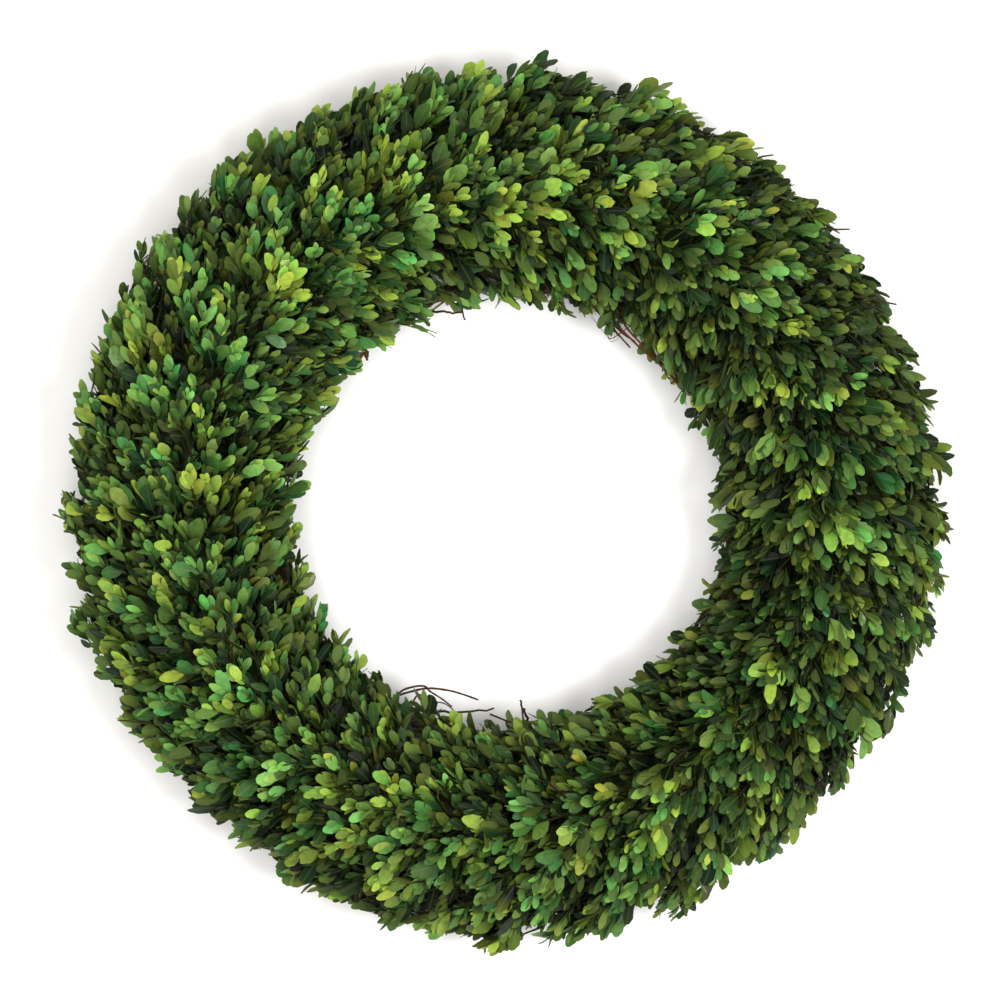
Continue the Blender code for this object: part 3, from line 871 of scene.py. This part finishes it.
def add_leaves(piece, leaves, slot):
    """Add drawn leaves to a piece."""
    points = keep_in_reach(leaf_points(leaves))
    count, size = points.shape[:2]
    along, across, through = leaf_outline(leaves["oval"])
    # Painted shade: the deeper a leaf lies in the bunch, the darker and greener it is coloured
    height = dot(points - leaves["skin"][:, None], leaves["outward"][:, None])
    height = LEAF_EVENNESS * height.mean(1, keepdims=True) + (1 - LEAF_EVENNESS) * height
    lit = np.clip((height - SHADE_FROM) / (SHADE_TO - SHADE_FROM), 0.0, 1.0)
    lit = SHADE_DEPTH + (1 - SHADE_DEPTH) * lit**SHADE_POWER
    # Painted shade at each leaf's base, under the leaves above it, and painted light at its tip
    tipward = PAINTED_BASE_SHADE_TO_TIP[0] + (PAINTED_BASE_SHADE_TO_TIP[1] - PAINTED_BASE_SHADE_TO_TIP[0]) * along[:, None]
    tints = np.empty((count, size, 4))
    tints[..., :3] = soften_brightest(leaves["tint"][:, None] * lit * tipward)
    tints[..., 3] = RIM + through / 2
    lays = side_by_side(across, along, leaves["random"][:, None])
    starts = (np.arange(count) * size)[:, None, None]
    piece.add(points, [starts + block for block in leaf_faces()], slot, tints, lays)


def band_faces(steps, sides, closed=False):
    """The quads between rings of points, and the two ends of a band that is open."""
    rings = np.arange(steps if closed else steps - 1)[:, None]
    here, there = rings * sides, (rings + 1) % steps * sides
    spot = np.arange(sides)
    after = (spot + 1) % sides
    quads = side_by_side(here + spot, here + after, there + after, there + spot).reshape(-1, 4)
    return [quads] if closed else [quads, np.stack((spot[::-1], (steps - 1) * sides + spot))]


def add_tubes(piece, paths, radii, sides, slot, tints, closed=False):
    """Add round tubes along paths (tubes, steps, 3), with radii, and tints for each tube or step."""
    tubes, steps = paths.shape[:2]
    if closed:
        way = unit(np.roll(paths, -1, axis=1) - np.roll(paths, 1, axis=1))
    else:
        way = unit(np.gradient(paths, axis=1))
    first = UP + AXIS_NUDGE * np.roll(way, 1, axis=-1)
    first = unit(first - dot(first, way) * way)
    second = np.cross(way, first)
    turn = full_turn(sides)
    ring = first[:, :, None] * np.cos(turn)[:, None] + second[:, :, None] * np.sin(turn)[:, None]
    points = paths[:, :, None] + ring * radii.reshape(*radii.shape, *(1,) * (4 - radii.ndim))
    along = np.cumsum(np.linalg.norm(np.diff(paths, axis=1, prepend=paths[:, :1]), axis=-1), axis=1)
    lays = side_by_side(np.sin(turn), along[..., None], np.cos(turn))
    colours = np.ones((tubes, steps, sides, 4))
    colours[..., :3] = tints[:, None, None] if tints.ndim == 2 else tints[:, :, None]
    starts = (np.arange(tubes) * steps * sides)[:, None, None]
    faces = [starts + block for block in band_faces(steps, sides, closed)]
    piece.add(points, faces, slot, colours, lays)


def add_tube(piece, path, radii, sides, slot, tint, closed=False):
    """Add one round tube of a single tint."""
    add_tubes(piece, path[None], radii[None], sides, slot, tint[None], closed)


def add_stems(piece, places, slot, rng):
    """Add the stem of every sprig."""
    axis = stem_axes(places)
    back = np.linspace(0.0, STEM_LENGTH, STEM_RINGS)[:, None]
    paths, _ = stem_point(places, axis, np.broadcast_to(back, (len(axis), STEM_RINGS, 1)))
    paths[..., 2] = np.maximum(paths[..., 2], STEM_FLOOR_GAP)
    paths = keep_in_reach(paths, STEM_REACH_R)
    radii = np.broadcast_to(np.linspace(*STEM_RADIUS, STEM_RINGS), (len(axis), STEM_RINGS))
    # Painted shade: stems darken towards their base, deep in the bunch
    tints = stem_tints(len(axis), rng)[:, None] * np.linspace(*STEM_PAINTED_SHADES, STEM_RINGS)[:, None]
    add_tubes(piece, paths[:, ::-1], radii[:, ::-1], STEM_SIDES, slot, tints[:, ::-1])


def stem_tints(count, rng):
    """Stem colours from olive to brown."""
    share = rng.uniform(0, 1, (count, 1))
    return np.array(linear(STEM_GREEN)) * (1 - share) + np.array(linear(STEM_BROWN)) * share


def heart_outline(row):
    """The section of a bunch's heart: the skin set in, down to the seat on the hoop."""
    low, high = np.radians(ROWS[row]["phi"])
    edge = HEART_OVERLAP / SKIN_HALF_WIDTH
    phi = np.linspace(low - edge, high + edge, HEART_SKIN_STEPS)
    skin = list(zip(*skin_section(phi, HEART_INSET)))
    seat = HOOP_R + SLANT_FROM
    if row == "outer":
        return np.array([(seat, HEART_FLOOR), (FLAT_SPOT_R, HEART_FLOOR), *skin, (seat, SEAT_Z)])
    if row == "crest":
        return np.array([(seat, SEAT_Z), *skin, (seat - HEART_INSET, SEAT_Z)])
    return np.array([(seat, SEAT_Z), *skin[:-2], (SKIN_R - SKIN_HALF_WIDTH + HEART_INSET, SEAT_Z)])


def add_heart(piece, row, start, end, slot, rng):
    """Loft the heart between the bunch's two slanted ends, a little lumpy."""
    outline = heart_outline(row)
    corners = len(outline)
    overlap = HEART_OVERLAP / SKIN_R / 2
    theta = np.linspace(start + overlap, end - overlap, HEART_STEPS)[:, None]
    r, z = outline.T
    points = ring_point(r, z, theta + slant_shift(r, z))
    lump = rng.uniform(-HEART_LUMP, HEART_LUMP, (HEART_STEPS, corners, 1))
    points = points + unit(points - points.mean(1, keepdims=True)) * lump
    quads, ends = band_faces(HEART_STEPS, corners)
    faces = [np.roll(quads[:, ::-1], 1, axis=1), ends[:, ::-1]]
    tints = np.ones((HEART_STEPS, corners, 4))
    lays = np.zeros((HEART_STEPS, corners, 3))
    piece.add(points, faces, slot, tints, lays)


def hoop_section(theta, angle, distance):
    """A point beside the hoop's centre line: angle 0 is away from the hole, a quarter turn is up."""
    return ring_point(HOOP_R + distance * np.cos(angle), HOOP_Z + distance * np.sin(angle), theta)


def add_tied_stems(piece, row, start, end, slot, rng):
    """Lay the cut ends of a bunch's stems along the hoop, rising into the bunch."""
    low, high = np.radians(TIED_ANGLES_DEG[row])
    spot = np.arange(TIED_STEMS) + rng.uniform(*TIED_SPOT, TIED_STEMS)
    angle = low + (high - low) * spot / TIED_STEMS
    share = np.linspace(0, 1, TIED_STEPS)
    begin = start + (start - end) * rng.uniform(*TIED_START, (TIED_STEMS, 1))
    theta = begin + (end - start) * TIED_SPAN * share
    angle = angle[:, None] + rng.normal(0, TIED_DRIFT, (TIED_STEMS, 1)) * share
    paths = hoop_section(theta, angle, TIED_R)
    radii = rng.uniform(*TIED_RADIUS, (TIED_STEMS, 1)) * np.linspace(*TIED_TAPER, TIED_STEPS)
    add_tubes(piece, paths, radii, STEM_SIDES, slot, stem_tints(TIED_STEMS, rng))


def add_twig(piece, degrees, slot, rng):
    """Add a bare twig tip that stands out of the outer row, a little crooked."""
    theta = np.array([math.radians(degrees)])
    phi = np.array([math.radians(TWIG_PHI_DEG)])
    radial, clockwise = ring_axes(theta)
    outward = unit(radial * np.cos(phi) / SKIN_HALF_WIDTH + UP * np.sin(phi) / SKIN_RISE)
    lean = math.radians(TWIG_LEAN_DEG)
    way = clockwise * math.cos(lean) + outward * math.sin(lean)
    share = np.linspace(0, 1, TWIG_STEPS)[:, None]
    path = ring_point(*skin_section(phi), theta) + way * (TWIG_LENGTH * share - TWIG_SINK)
    path = path + rng.normal(0, CROOK, path.shape)
    radii = np.linspace(*TWIG_RADIUS, TWIG_STEPS)
    add_tube(piece, path, radii, STEM_SIDES, slot, np.array(linear(STEM_BROWN)))


def twig_station(degrees):
    """The outer bunch that a twig at this angle stands on."""
    shift = slant_shift(*skin_section(math.radians(TWIG_PHI_DEG)))
    clockwise = math.pi / 2 - (math.radians(degrees) - shift)
    return int(clockwise % math.tau / math.tau * STATIONS)


def build_bunch(row, station):
    """Grow one bunch of sprigs over its dark heart."""
    settings = bpy.context.scene.wreath_foliage
    rng = np.random.default_rng((SEED, list(ROWS).index(row), station))
    start, end = bunch_span(row, station)
    piece = PieceMesh()
    add_heart(piece, row, start, end, 2, rng)
    spots = skin_spots(row, start, end, settings.sprig_spacing, rng)
    groups = [skin_places(*spots, settings, rng)]
    if row == "outer":
        groups.append(under_places(start, end, rng))
    if row == "inner":
        groups.append(stray_places(start, end, settings, rng))
    for places in groups:
        add_leaves(piece, draw_leaves(places, settings, rng), 0)
        add_stems(piece, places, 1, rng)
    add_tied_stems(piece, row, start, end, 1, rng)
    for degrees in TWIG_DEGS if row == "outer" else ():
        if twig_station(degrees) == station:
            add_twig(piece, degrees, 1, rng)
    materials = [
        make_material("preserved_boxwood_leaf", boxwood_leaf),
        make_material("dried_boxwood_stem", boxwood_stem),
        make_material("shaded_boxwood_tangle", shaded_tangle),
    ]
    number = f"{station + 1:02d}"
    finish_piece(piece, f"{row}_foliage_{number}", materials, f"{row}_bunch_{number}")


def build_row(row):
    """Grow every bunch of one row."""
    for station in range(STATIONS):
        build_bunch(row, station)


def strand_angle(strand, theta):
    """Where a strand lies in the hoop's section."""
    return math.tau * strand / STRANDS + STRAND_TWISTS * theta


def strand_centre(strand, theta):
    """Points on a strand's centre line."""
    return hoop_section(theta, strand_angle(strand, theta), STRAND_HELIX_R)


def gnarl(kind, theta, rng):
    """Closed, uneven waves round the hoop."""
    amount, turns = GNARLS[kind]
    around = rng.integers(*turns, WAVES)
    phase = rng.uniform(0, math.tau, WAVES)
    return amount * (np.cos(theta[:, None] * around + phase).sum(-1) / math.sqrt(WAVES / 2))


def inner_strand(theta):
    """The strand that lies nearest the hole at this angle."""
    return max(range(STRANDS), key=lambda strand: -math.cos(strand_angle(strand, theta)))


def shoot_path(strand, start_deg, end_deg, tip_reach, tip_z, rng):
    """A side shoot that leaves its strand and runs along the hole's rim to a free tip."""
    root = strand_centre(strand, np.radians([start_deg]))[0]
    share = np.linspace(0, 1, SHOOT_STEPS)
    near = STRAND_HELIX_R + STRAND_R
    reach = near + (tip_reach - near) * share
    z = root[2] + (tip_z - root[2]) * share
    theta = np.radians(start_deg + (end_deg - start_deg) * (share + SHOOT_LEAD) / (1 + SHOOT_LEAD))
    path = ring_point(HOOP_R - reach, z, theta) + rng.normal(0, CROOK, (SHOOT_STEPS, 3))
    path[0] = root
    return path


def smooth_curve(points):
    """A smooth curve through the points."""
    ends = (2 * points[:1] - points[1:2], 2 * points[-1:] - points[-2:-1])
    padded = np.concatenate((ends[0], points, ends[1]))
    share = np.linspace(0, 1, SPAN_STEPS, endpoint=False)[:, None]
    spans = []
    for before, start, end, after in zip(padded, padded[1:], padded[2:], padded[3:]):
        slope = (end - before) / 2
        curve = before - 2.5 * start + 2 * end - after / 2
        twist = 1.5 * (start - end) + (after - before) / 2
        spans.append(start + slope * share + curve * share**2 + twist * share**3)
    return np.concatenate((*spans, points[-1:]))


def add_tendrils(piece, strand, rng):
    """Add the loose tendrils that grow out of this strand at the hole's rim."""
    for tone, radius, height, route in TENDRILS:
        theta = math.atan2(route[0][1], route[0][0])
        if inner_strand(theta) != strand:
            continue
        root = strand_centre(strand, np.array([theta]))
        points = np.array([(x, y, height) for x, y in route]) * MM
        points[:, 2] += rng.normal(0, TENDRIL_WAVER, len(points))
        path = smooth_curve(np.concatenate((root, points)))
        radii = radius * MM * np.linspace(*TENDRIL_TAPER, len(path))
        radii = radii * (1 + rng.uniform(-TENDRIL_KNOTS, TENDRIL_KNOTS, len(path)))
        add_tube(piece, path, radii, SHOOT_SIDES, 0, np.array(linear(TENDRIL_TONES[tone])))


def build_strand(strand):
    """One vine of the hoop with its thin runners and side shoots, bark on all of them."""
    settings = bpy.context.scene.wreath_hoop
    rng = np.random.default_rng((SEED, HOOP_SEED, strand))
    piece = PieceMesh()
    bark = np.array(settings.bark_colour)
    theta = full_turn(STRAND_STEPS)
    core = STRAND_R - CORE_INSET * settings.runner_radius
    knots = 1 + gnarl("strand", theta, rng)
    ridges = 1 + RIDGE_HEIGHT * np.cos(RIDGES * full_turn(STRAND_SIDES) + RIDGE_TWISTS * theta[:, None])
    ridges = ridges + BARK_UNEVEN * rng.normal(0, 1, (STRAND_STEPS, STRAND_SIDES))
    radii = core * knots[:, None] * ridges
    add_tube(piece, strand_centre(strand, theta), radii, STRAND_SIDES, 0, bark, closed=True)
    theta = full_turn(RUNNER_STEPS)
    centre = strand_centre(strand, theta)
    radial, _ = ring_axes(theta)
    for runner in range(RUNNERS):
        turns = int(rng.integers(*RUNNER_TURNS))
        around = math.tau * runner / RUNNERS + turns * theta + gnarl("winding", theta, rng)
        away = (STRAND_R - settings.runner_radius) * (1 + gnarl("lift", theta, rng))
        offset = radial * np.cos(around)[:, None] + UP * np.sin(around)[:, None]
        path = centre + offset * away[:, None]
        radii = settings.runner_radius * (1 + gnarl("runner", theta, rng))
        add_tube(piece, path, radii, RUNNER_SIDES, 0, bark * rng.uniform(*RUNNER_SHADES), closed=True)
    for shoot in SHOOTS:
        if inner_strand(math.radians(shoot[0])) == strand:
            path = shoot_path(strand, *shoot, rng)
            radii = settings.shoot_radius * np.linspace(*SHOOT_TAPER, SHOOT_STEPS)
            add_tube(piece, path, radii, SHOOT_SIDES, 0, bark * SHOOT_SHADE)
    add_tendrils(piece, strand, rng)
    materials = [make_material("dried_grapevine_bark", vine_bark)]
    finish_piece(piece, f"hoop_vine_{strand + 1}", materials, f"vine_strand_{strand + 1}")


def thread_path(route):
    """A fine loose loop of wire that leaves the hoop, turns round in the hole and comes back."""
    points = np.array([(x * MM, y * MM, THREAD_HEIGHT) for x, y in route])
    theta = np.arctan2(points[[0, -1], 1], points[[0, -1], 0])
    ends = hoop_section(theta, math.pi, WIRE_COIL_R)
    return smooth_curve(np.concatenate((ends[:1], points, ends[1:])))


def build_wire():
    """Coil the tie wire round the hoop, with its loose loop and fine loose threads."""
    settings = bpy.context.scene.wreath_hoop
    steps = STATIONS * WIRE_STEPS_PER_TURN
    theta = full_turn(steps)
    around = math.tau * np.arange(steps) / WIRE_STEPS_PER_TURN
    near = np.abs(np.degrees(theta) - WIRE_LOOP_DEG) < 360.0 / STATIONS / 2
    loop = WIRE_LOOP_REACH * np.maximum(-np.cos(around), 0.0) ** WIRE_LOOP_SHARPNESS * near
    piece = PieceMesh()
    tint = np.array(settings.wire_colour)
    path = hoop_section(theta, around, WIRE_COIL_R + loop)
    add_tube(piece, path, np.full(steps, settings.wire_radius), WIRE_SIDES, 0, tint, closed=True)
    for thread in THREADS:
        path = thread_path(thread)
        add_tube(piece, path, np.full(len(path), THREAD_RADIUS), WIRE_SIDES, 0, tint)
    materials = [make_material("annealed_iron_wire", iron_wire)]
    finish_piece(piece, "wire_windings", materials, "tie_wire")


# Materials


def add_node(tree, kind, inputs=None, **settings):
    """Add a shader node with its settings, link each input that is given a socket, and set the others."""
    node = tree.nodes.new("ShaderNode" + kind)
    for name, value in settings.items():
        setattr(node, name, value)
    for name, value in (inputs or {}).items():
        if isinstance(value, bpy.types.NodeSocket):
            tree.links.new(value, node.inputs[name])
        else:
            node.inputs[name].default_value = value
    return node.outputs


def make_material(name, surface):
    """The material of this name, made from its surface function when it is first asked for."""
    material = bpy.data.materials.get(name)
    if material is None:
        material = bpy.data.materials.new(name)
        material.use_nodes = True
        tree = material.node_tree
        tree.nodes.clear()
        shader = add_node(tree, "BsdfPrincipled", surface(tree))
        add_node(tree, "OutputMaterial", {"Surface": shader[0]})
    return material


def linear4(hex_text):
    """An sRGB hex colour as a linear socket value."""
    return (*linear(hex_text), 1.0)


def boxwood_leaf(tree):
    """Preserved boxwood leaf, soaked in glycerine and dyed: unevenly green, satin rather than waxy."""
    tint = add_node(tree, "Attribute", attribute_name="tint")
    lay = add_node(tree, "Attribute", attribute_name="lay")
    across, along, random = add_node(tree, "SeparateXYZ", {0: lay["Vector"]})
    place = add_node(tree, "TexCoord")["Object"]
    # Dye takes unevenly over some 4 mm of blade
    mottle = add_node(
        tree, "TexNoise", {"Vector": place, "Scale": 1 / (4 * MM), "Detail": 3.0, "Roughness": 0.6}
    )[0]
    uneven = add_node(
        tree, "MapRange", {"Value": mottle, "From Min": 0.3, "From Max": 0.7, "To Min": 0.78, "To Max": 1.2}
    )[0]
    body = add_node(tree, "VectorMath", {"Vector": tint["Color"], "Scale": uneven}, operation="SCALE")[0]
    # A few leaves yellow from the tip
    yellows = add_node(
        tree,
        "MapRange",
        {"Value": random, "From Min": 0.86, "From Max": 1.0, "To Min": 0.0, "To Max": 0.28},
    )[0]
    tipward = add_node(tree, "MapRange", {"Value": along, "From Min": 0.35, "From Max": 1.0})[0]
    yellowing = add_node(tree, "Math", {0: yellows, 1: tipward}, operation="MULTIPLY")[0]
    yellowed = add_node(
        tree, "Mix", {0: yellowing, MIX_A: body, MIX_B: linear4("#a3a935")}, data_type="RGBA"
    )[MIX_COLOUR]
    # The midrib is 0.4 mm wide, drawn at 0.6 mm so that it shows
    off_rib = add_node(tree, "Math", {0: across}, operation="ABSOLUTE")[0]
    rib = add_node(
        tree,
        "MapRange",
        {"Value": off_rib, "From Min": 0.02, "From Max": 0.12, "To Min": 0.10, "To Max": 0.0},
        interpolation_type="SMOOTHSTEP",
    )[0]
    ribbed = add_node(
        tree, "Mix", {0: rib, MIX_A: yellowed, MIX_B: linear4("#8a9945")}, data_type="RGBA"
    )[MIX_COLOUR]
    # Undersides keep a matt, paler, yellower green
    underside = add_node(tree, "Math", {0: tint["Alpha"], 1: RIM}, operation="LESS_THAN")[0]
    paler = add_node(
        tree, "Mix", {0: UNDERSIDE_PALER, MIX_A: ribbed, MIX_B: linear4("#68793b")}, data_type="RGBA"
    )[MIX_COLOUR]
    colour = add_node(
        tree, "Mix", {0: underside, MIX_A: ribbed, MIX_B: paler}, data_type="RGBA"
    )[MIX_COLOUR]
    satin = add_node(
        tree,
        "MapRange",
        {"Value": mottle, "From Min": 0.3, "From Max": 0.7, "To Min": 0.38, "To Max": 0.52},
    )[0]
    duller = add_node(
        tree, "Math", {0: underside, 1: UNDERSIDE_ROUGHER, 2: satin}, operation="MULTIPLY_ADD"
    )[0]
    # One leaf in a hundred kept its wax and glints
    waxed = add_node(
        tree,
        "MapRange",
        {"Value": random, "From Min": 0.008, "From Max": 0.014, "To Min": 0.25, "To Max": 1.0},
    )[0]
    roughness = add_node(tree, "Math", {0: duller, 1: waxed}, operation="MULTIPLY")[0]
    gloss = add_node(
        tree,
        "MapRange",
        {"Value": random, "From Min": 0.008, "From Max": 0.014, "To Min": 0.38, "To Max": 0.12},
    )[0]
    # Side veins run out and forward, about 1 mm apart
    slope = add_node(tree, "Math", {0: off_rib, 1: VEIN_SLOPE, 2: along}, operation="MULTIPLY_ADD")[0]
    phase = add_node(tree, "Math", {0: slope, 1: math.tau * VEINS}, operation="MULTIPLY")[0]
    veins = add_node(tree, "Math", {0: phase}, operation="SINE")[0]
    groove = add_node(tree, "Math", {0: rib, 1: RIB_GROOVE, 2: veins}, operation="MULTIPLY_ADD")[0]
    relief = add_node(tree, "Bump", {"Height": groove, "Strength": 0.5, "Distance": 0.08 * MM})[0]
    grain = add_node(
        tree, "Bump", {"Height": mottle, "Normal": relief, "Strength": 0.5, "Distance": 0.5 * MM}
    )[0]
    return {
        "Base Color": colour,
        "Roughness": roughness,
        "Specular IOR Level": gloss,
        "IOR": 1.45,
        "Normal": grain,
    }


def bark(tree, coarse_mm, fine_mm, contrast, roughness, relief_mm):
    """Bark with fibres along it: colour from the piece's tint, darker in the furrows."""
    tint = add_node(tree, "Attribute", attribute_name="tint")
    lay = add_node(tree, "Attribute", attribute_name="lay")
    stretch = add_node(
        tree,
        "VectorMath",
        {0: lay["Vector"], 1: (FIBRES_ROUND, 1 / (coarse_mm * MM), FIBRES_ROUND)},
        operation="MULTIPLY",
    )[0]
    fibres = add_node(
        tree, "TexNoise", {"Vector": stretch, "Scale": 1.0, "Detail": 4.0, "Roughness": 0.65}
    )[0]
    place = add_node(tree, "TexCoord")["Object"]
    scuffs = add_node(tree, "TexNoise", {"Vector": place, "Scale": 1 / (fine_mm * MM), "Detail": 2.0})[0]
    both = add_node(tree, "Math", {0: scuffs, 1: SCUFF_SHARE, 2: fibres}, operation="MULTIPLY_ADD")[0]
    shade = add_node(
        tree,
        "MapRange",
        {"Value": both, "From Min": 0.45, "From Max": 0.95, "To Min": 1 - contrast, "To Max": 1 + contrast},
    )[0]
    colour = add_node(tree, "VectorMath", {"Vector": tint["Color"], "Scale": shade}, operation="SCALE")[0]
    bump = add_node(tree, "Bump", {"Height": both, "Strength": 0.9, "Distance": relief_mm * MM})[0]
    return {
        "Base Color": colour,
        "Roughness": roughness,
        "IOR": 1.5,
        "Specular IOR Level": 0.1,
        "Normal": bump,
    }


def boxwood_stem(tree):
    """Young boxwood stem, dried: thin bark from olive to brown, nearly smooth and matt."""
    return bark(tree, coarse_mm=8.0, fine_mm=1.5, contrast=0.35, roughness=0.7, relief_mm=0.2)


def vine_bark(tree):
    """Grapevine bark, dried on the vine: stringy red-brown fibres that peel, rough and matt."""
    return bark(tree, coarse_mm=14.0, fine_mm=2.5, contrast=0.6, roughness=0.85, relief_mm=0.7)


def shaded_tangle(tree):
    """Heart of a bunch: packed stems and inner leaves that get no light, seen as dark flecks."""
    place = add_node(tree, "TexCoord")["Object"]
    # Inner leaves show as flecks some 6 mm across
    flecks = add_node(tree, "TexVoronoi", {"Vector": place, "Scale": 1 / (6 * MM)})["Distance"]
    colour = add_node(
        tree, "Mix", {0: flecks, MIX_A: linear4("#222a17"), MIX_B: linear4("#3a4625")}, data_type="RGBA"
    )[MIX_COLOUR]
    bump = add_node(tree, "Bump", {"Height": flecks, "Strength": 1.0, "Distance": 1.5 * MM})[0]
    return {"Base Color": colour, "Roughness": 0.8, "IOR": 1.45, "Specular IOR Level": 0.1, "Normal": bump}


def iron_wire(tree):
    """Annealed iron wire, drawn smooth and blackened by heat: dull dark metal, a little blotchy."""
    tint = add_node(tree, "Attribute", attribute_name="tint")
    place = add_node(tree, "TexCoord")["Object"]
    # Heat marks change every 8 mm or so
    marks = add_node(tree, "TexNoise", {"Vector": place, "Scale": 1 / (8 * MM), "Detail": 2.0})[0]
    shade = add_node(
        tree, "MapRange", {"Value": marks, "From Min": 0.3, "From Max": 0.7, "To Min": 0.7, "To Max": 1.3}
    )[0]
    colour = add_node(tree, "VectorMath", {"Vector": tint["Color"], "Scale": shade}, operation="SCALE")[0]
    rough = add_node(
        tree, "MapRange", {"Value": marks, "From Min": 0.3, "From Max": 0.7, "To Min": 0.38, "To Max": 0.55}
    )[0]
    return {"Base Color": colour, "Roughness": rough, "Metallic": 0.85}


def paper_floor(tree):
    """Background paper, pressed from pulp: matt, with a very slight tooth."""
    place = add_node(tree, "TexCoord")["Object"]
    # Paper tooth is 0.5 mm, drawn at 3 mm so that it shows
    tooth = add_node(tree, "TexNoise", {"Vector": place, "Scale": 1 / (3 * MM), "Detail": 2.0})[0]
    bump = add_node(tree, "Bump", {"Height": tooth, "Strength": 0.1, "Distance": 0.1 * MM})[0]
    colour = (*bpy.context.scene.wreath_stage.floor_colour, 1.0)
    return {"Base Color": colour, "Roughness": 0.95, "Specular IOR Level": 0.2, "Normal": bump}


# Stage


def add_soft_light(name, power, size, place):
    """A square soft light aimed at the wreath."""
    light = bpy.data.lights.new(name, "AREA")
    light.energy = power
    light.size = size
    obj = bpy.data.objects.new(name, light)
    obj.location = place
    x, y, z = place
    obj.rotation_euler = (math.atan2(math.hypot(x, y), z), 0.0, math.atan2(y, x) + math.pi / 2)
    bpy.context.scene.collection.objects.link(obj)


def build_stage():
    """Set up the floor, the lights and the camera straight above the wreath."""
    scene = bpy.context.scene
    settings = scene.wreath_stage
    bpy.ops.mesh.primitive_plane_add(size=FLOOR_SIZE)
    floor = bpy.context.object
    floor.name = "paper_floor"
    floor.data.materials.append(make_material("pressed_background_paper", paper_floor))
    for name, (size, place) in SOFT_LIGHTS.items():
        add_soft_light(f"{name}_softbox", getattr(settings, f"{name}_light"), size, place)
    world = bpy.data.worlds.new("even_studio_light")
    world.use_nodes = True
    sky = world.node_tree.nodes["Background"]
    sky.inputs["Color"].default_value = linear4(SKY_TINT)
    sky.inputs["Strength"].default_value = settings.sky_light
    scene.world = world
    scene.view_settings.view_transform = "Standard"
    camera = bpy.data.cameras.new("overhead_camera")
    camera.sensor_width = SENSOR_MM
    camera.lens = SENSOR_MM * settings.camera_height / FRAME_WIDTH
    holder = bpy.data.objects.new("overhead_camera", camera)
    holder.location = (*CAMERA_XY, FRAME_AT_Z + settings.camera_height)
    scene.collection.objects.link(holder)
    scene.camera = holder


# Operators, panel and registration


class WREATH_OT_outer_bunches(bpy.types.Operator):
    """Grow the outer row of boxwood bunches, with its bare twig tips"""

    bl_idname = "wreath.outer_bunches"
    bl_label = "Outer bunches"

    def execute(self, context):
        build_row("outer")
        return {"FINISHED"}


class WREATH_OT_crest_bunches(bpy.types.Operator):
    """Grow the row of boxwood bunches on the ring's crest"""

    bl_idname = "wreath.crest_bunches"
    bl_label = "Crest bunches"

    def execute(self, context):
        build_row("crest")
        return {"FINISHED"}


class WREATH_OT_inner_bunches(bpy.types.Operator):
    """Grow the row of boxwood bunches round the hole"""

    bl_idname = "wreath.inner_bunches"
    bl_label = "Inner bunches"

    def execute(self, context):
        build_row("inner")
        return {"FINISHED"}


class WREATH_OT_vine_hoop(bpy.types.Operator):
    """Twist the vines of the hoop, with their thin runners and side shoots"""

    bl_idname = "wreath.vine_hoop"
    bl_label = "Vine hoop"

    def execute(self, context):
        for strand in range(STRANDS):
            build_strand(strand)
        return {"FINISHED"}


class WREATH_OT_tie_wire(bpy.types.Operator):
    """Coil the tie wire round the hoop, with its loose loops"""

    bl_idname = "wreath.tie_wire"
    bl_label = "Tie wire"

    def execute(self, context):
        build_wire()
        return {"FINISHED"}


class WREATH_OT_stage(bpy.types.Operator):
    """Set up the floor, the lights and the camera"""

    bl_idname = "wreath.stage"
    bl_label = "Stage"

    def execute(self, context):
        build_stage()
        return {"FINISHED"}


PIECE_OPERATORS = (
    WREATH_OT_outer_bunches,
    WREATH_OT_crest_bunches,
    WREATH_OT_inner_bunches,
    WREATH_OT_vine_hoop,
    WREATH_OT_tie_wire,
    WREATH_OT_stage,
)


class WREATH_PT_panel(bpy.types.Panel):
    """Lists the wreath's settings and the operators that build it"""

    bl_idname = "WREATH_PT_panel"
    bl_label = "Boxwood wreath"
    bl_space_type = "VIEW_3D"
    bl_region_type = "UI"
    bl_category = "Wreath"

    def draw(self, context):
        for name in SETTINGS:
            settings = getattr(context.scene, name)
            for key in settings.__annotations__:
                self.layout.prop(settings, key)
        for operator in PIECE_OPERATORS:
            self.layout.operator(operator.bl_idname)


SETTINGS = {
    "wreath_foliage": FoliageSettings,
    "wreath_hoop": HoopSettings,
    "wreath_stage": StageSettings,
}
CLASSES = (*SETTINGS.values(), *PIECE_OPERATORS, WREATH_PT_panel)


def register():
    """Register the classes and hang the settings on the scene."""
    for cls in CLASSES:
        bpy.utils.register_class(cls)
    for name, group in SETTINGS.items():
        setattr(bpy.types.Scene, name, PointerProperty(type=group))


def unregister():
    """Take the settings off the scene and unregister the classes."""
    for name in SETTINGS:
        delattr(bpy.types.Scene, name)
    for cls in reversed(CLASSES):
        bpy.utils.unregister_class(cls)


def main():
    """Build every piece and the stage."""
    register()
    for operator in PIECE_OPERATORS:
        group, name = operator.bl_idname.split(".")
        getattr(getattr(bpy.ops, group), name)()


if __name__ == "__main__":
    main()
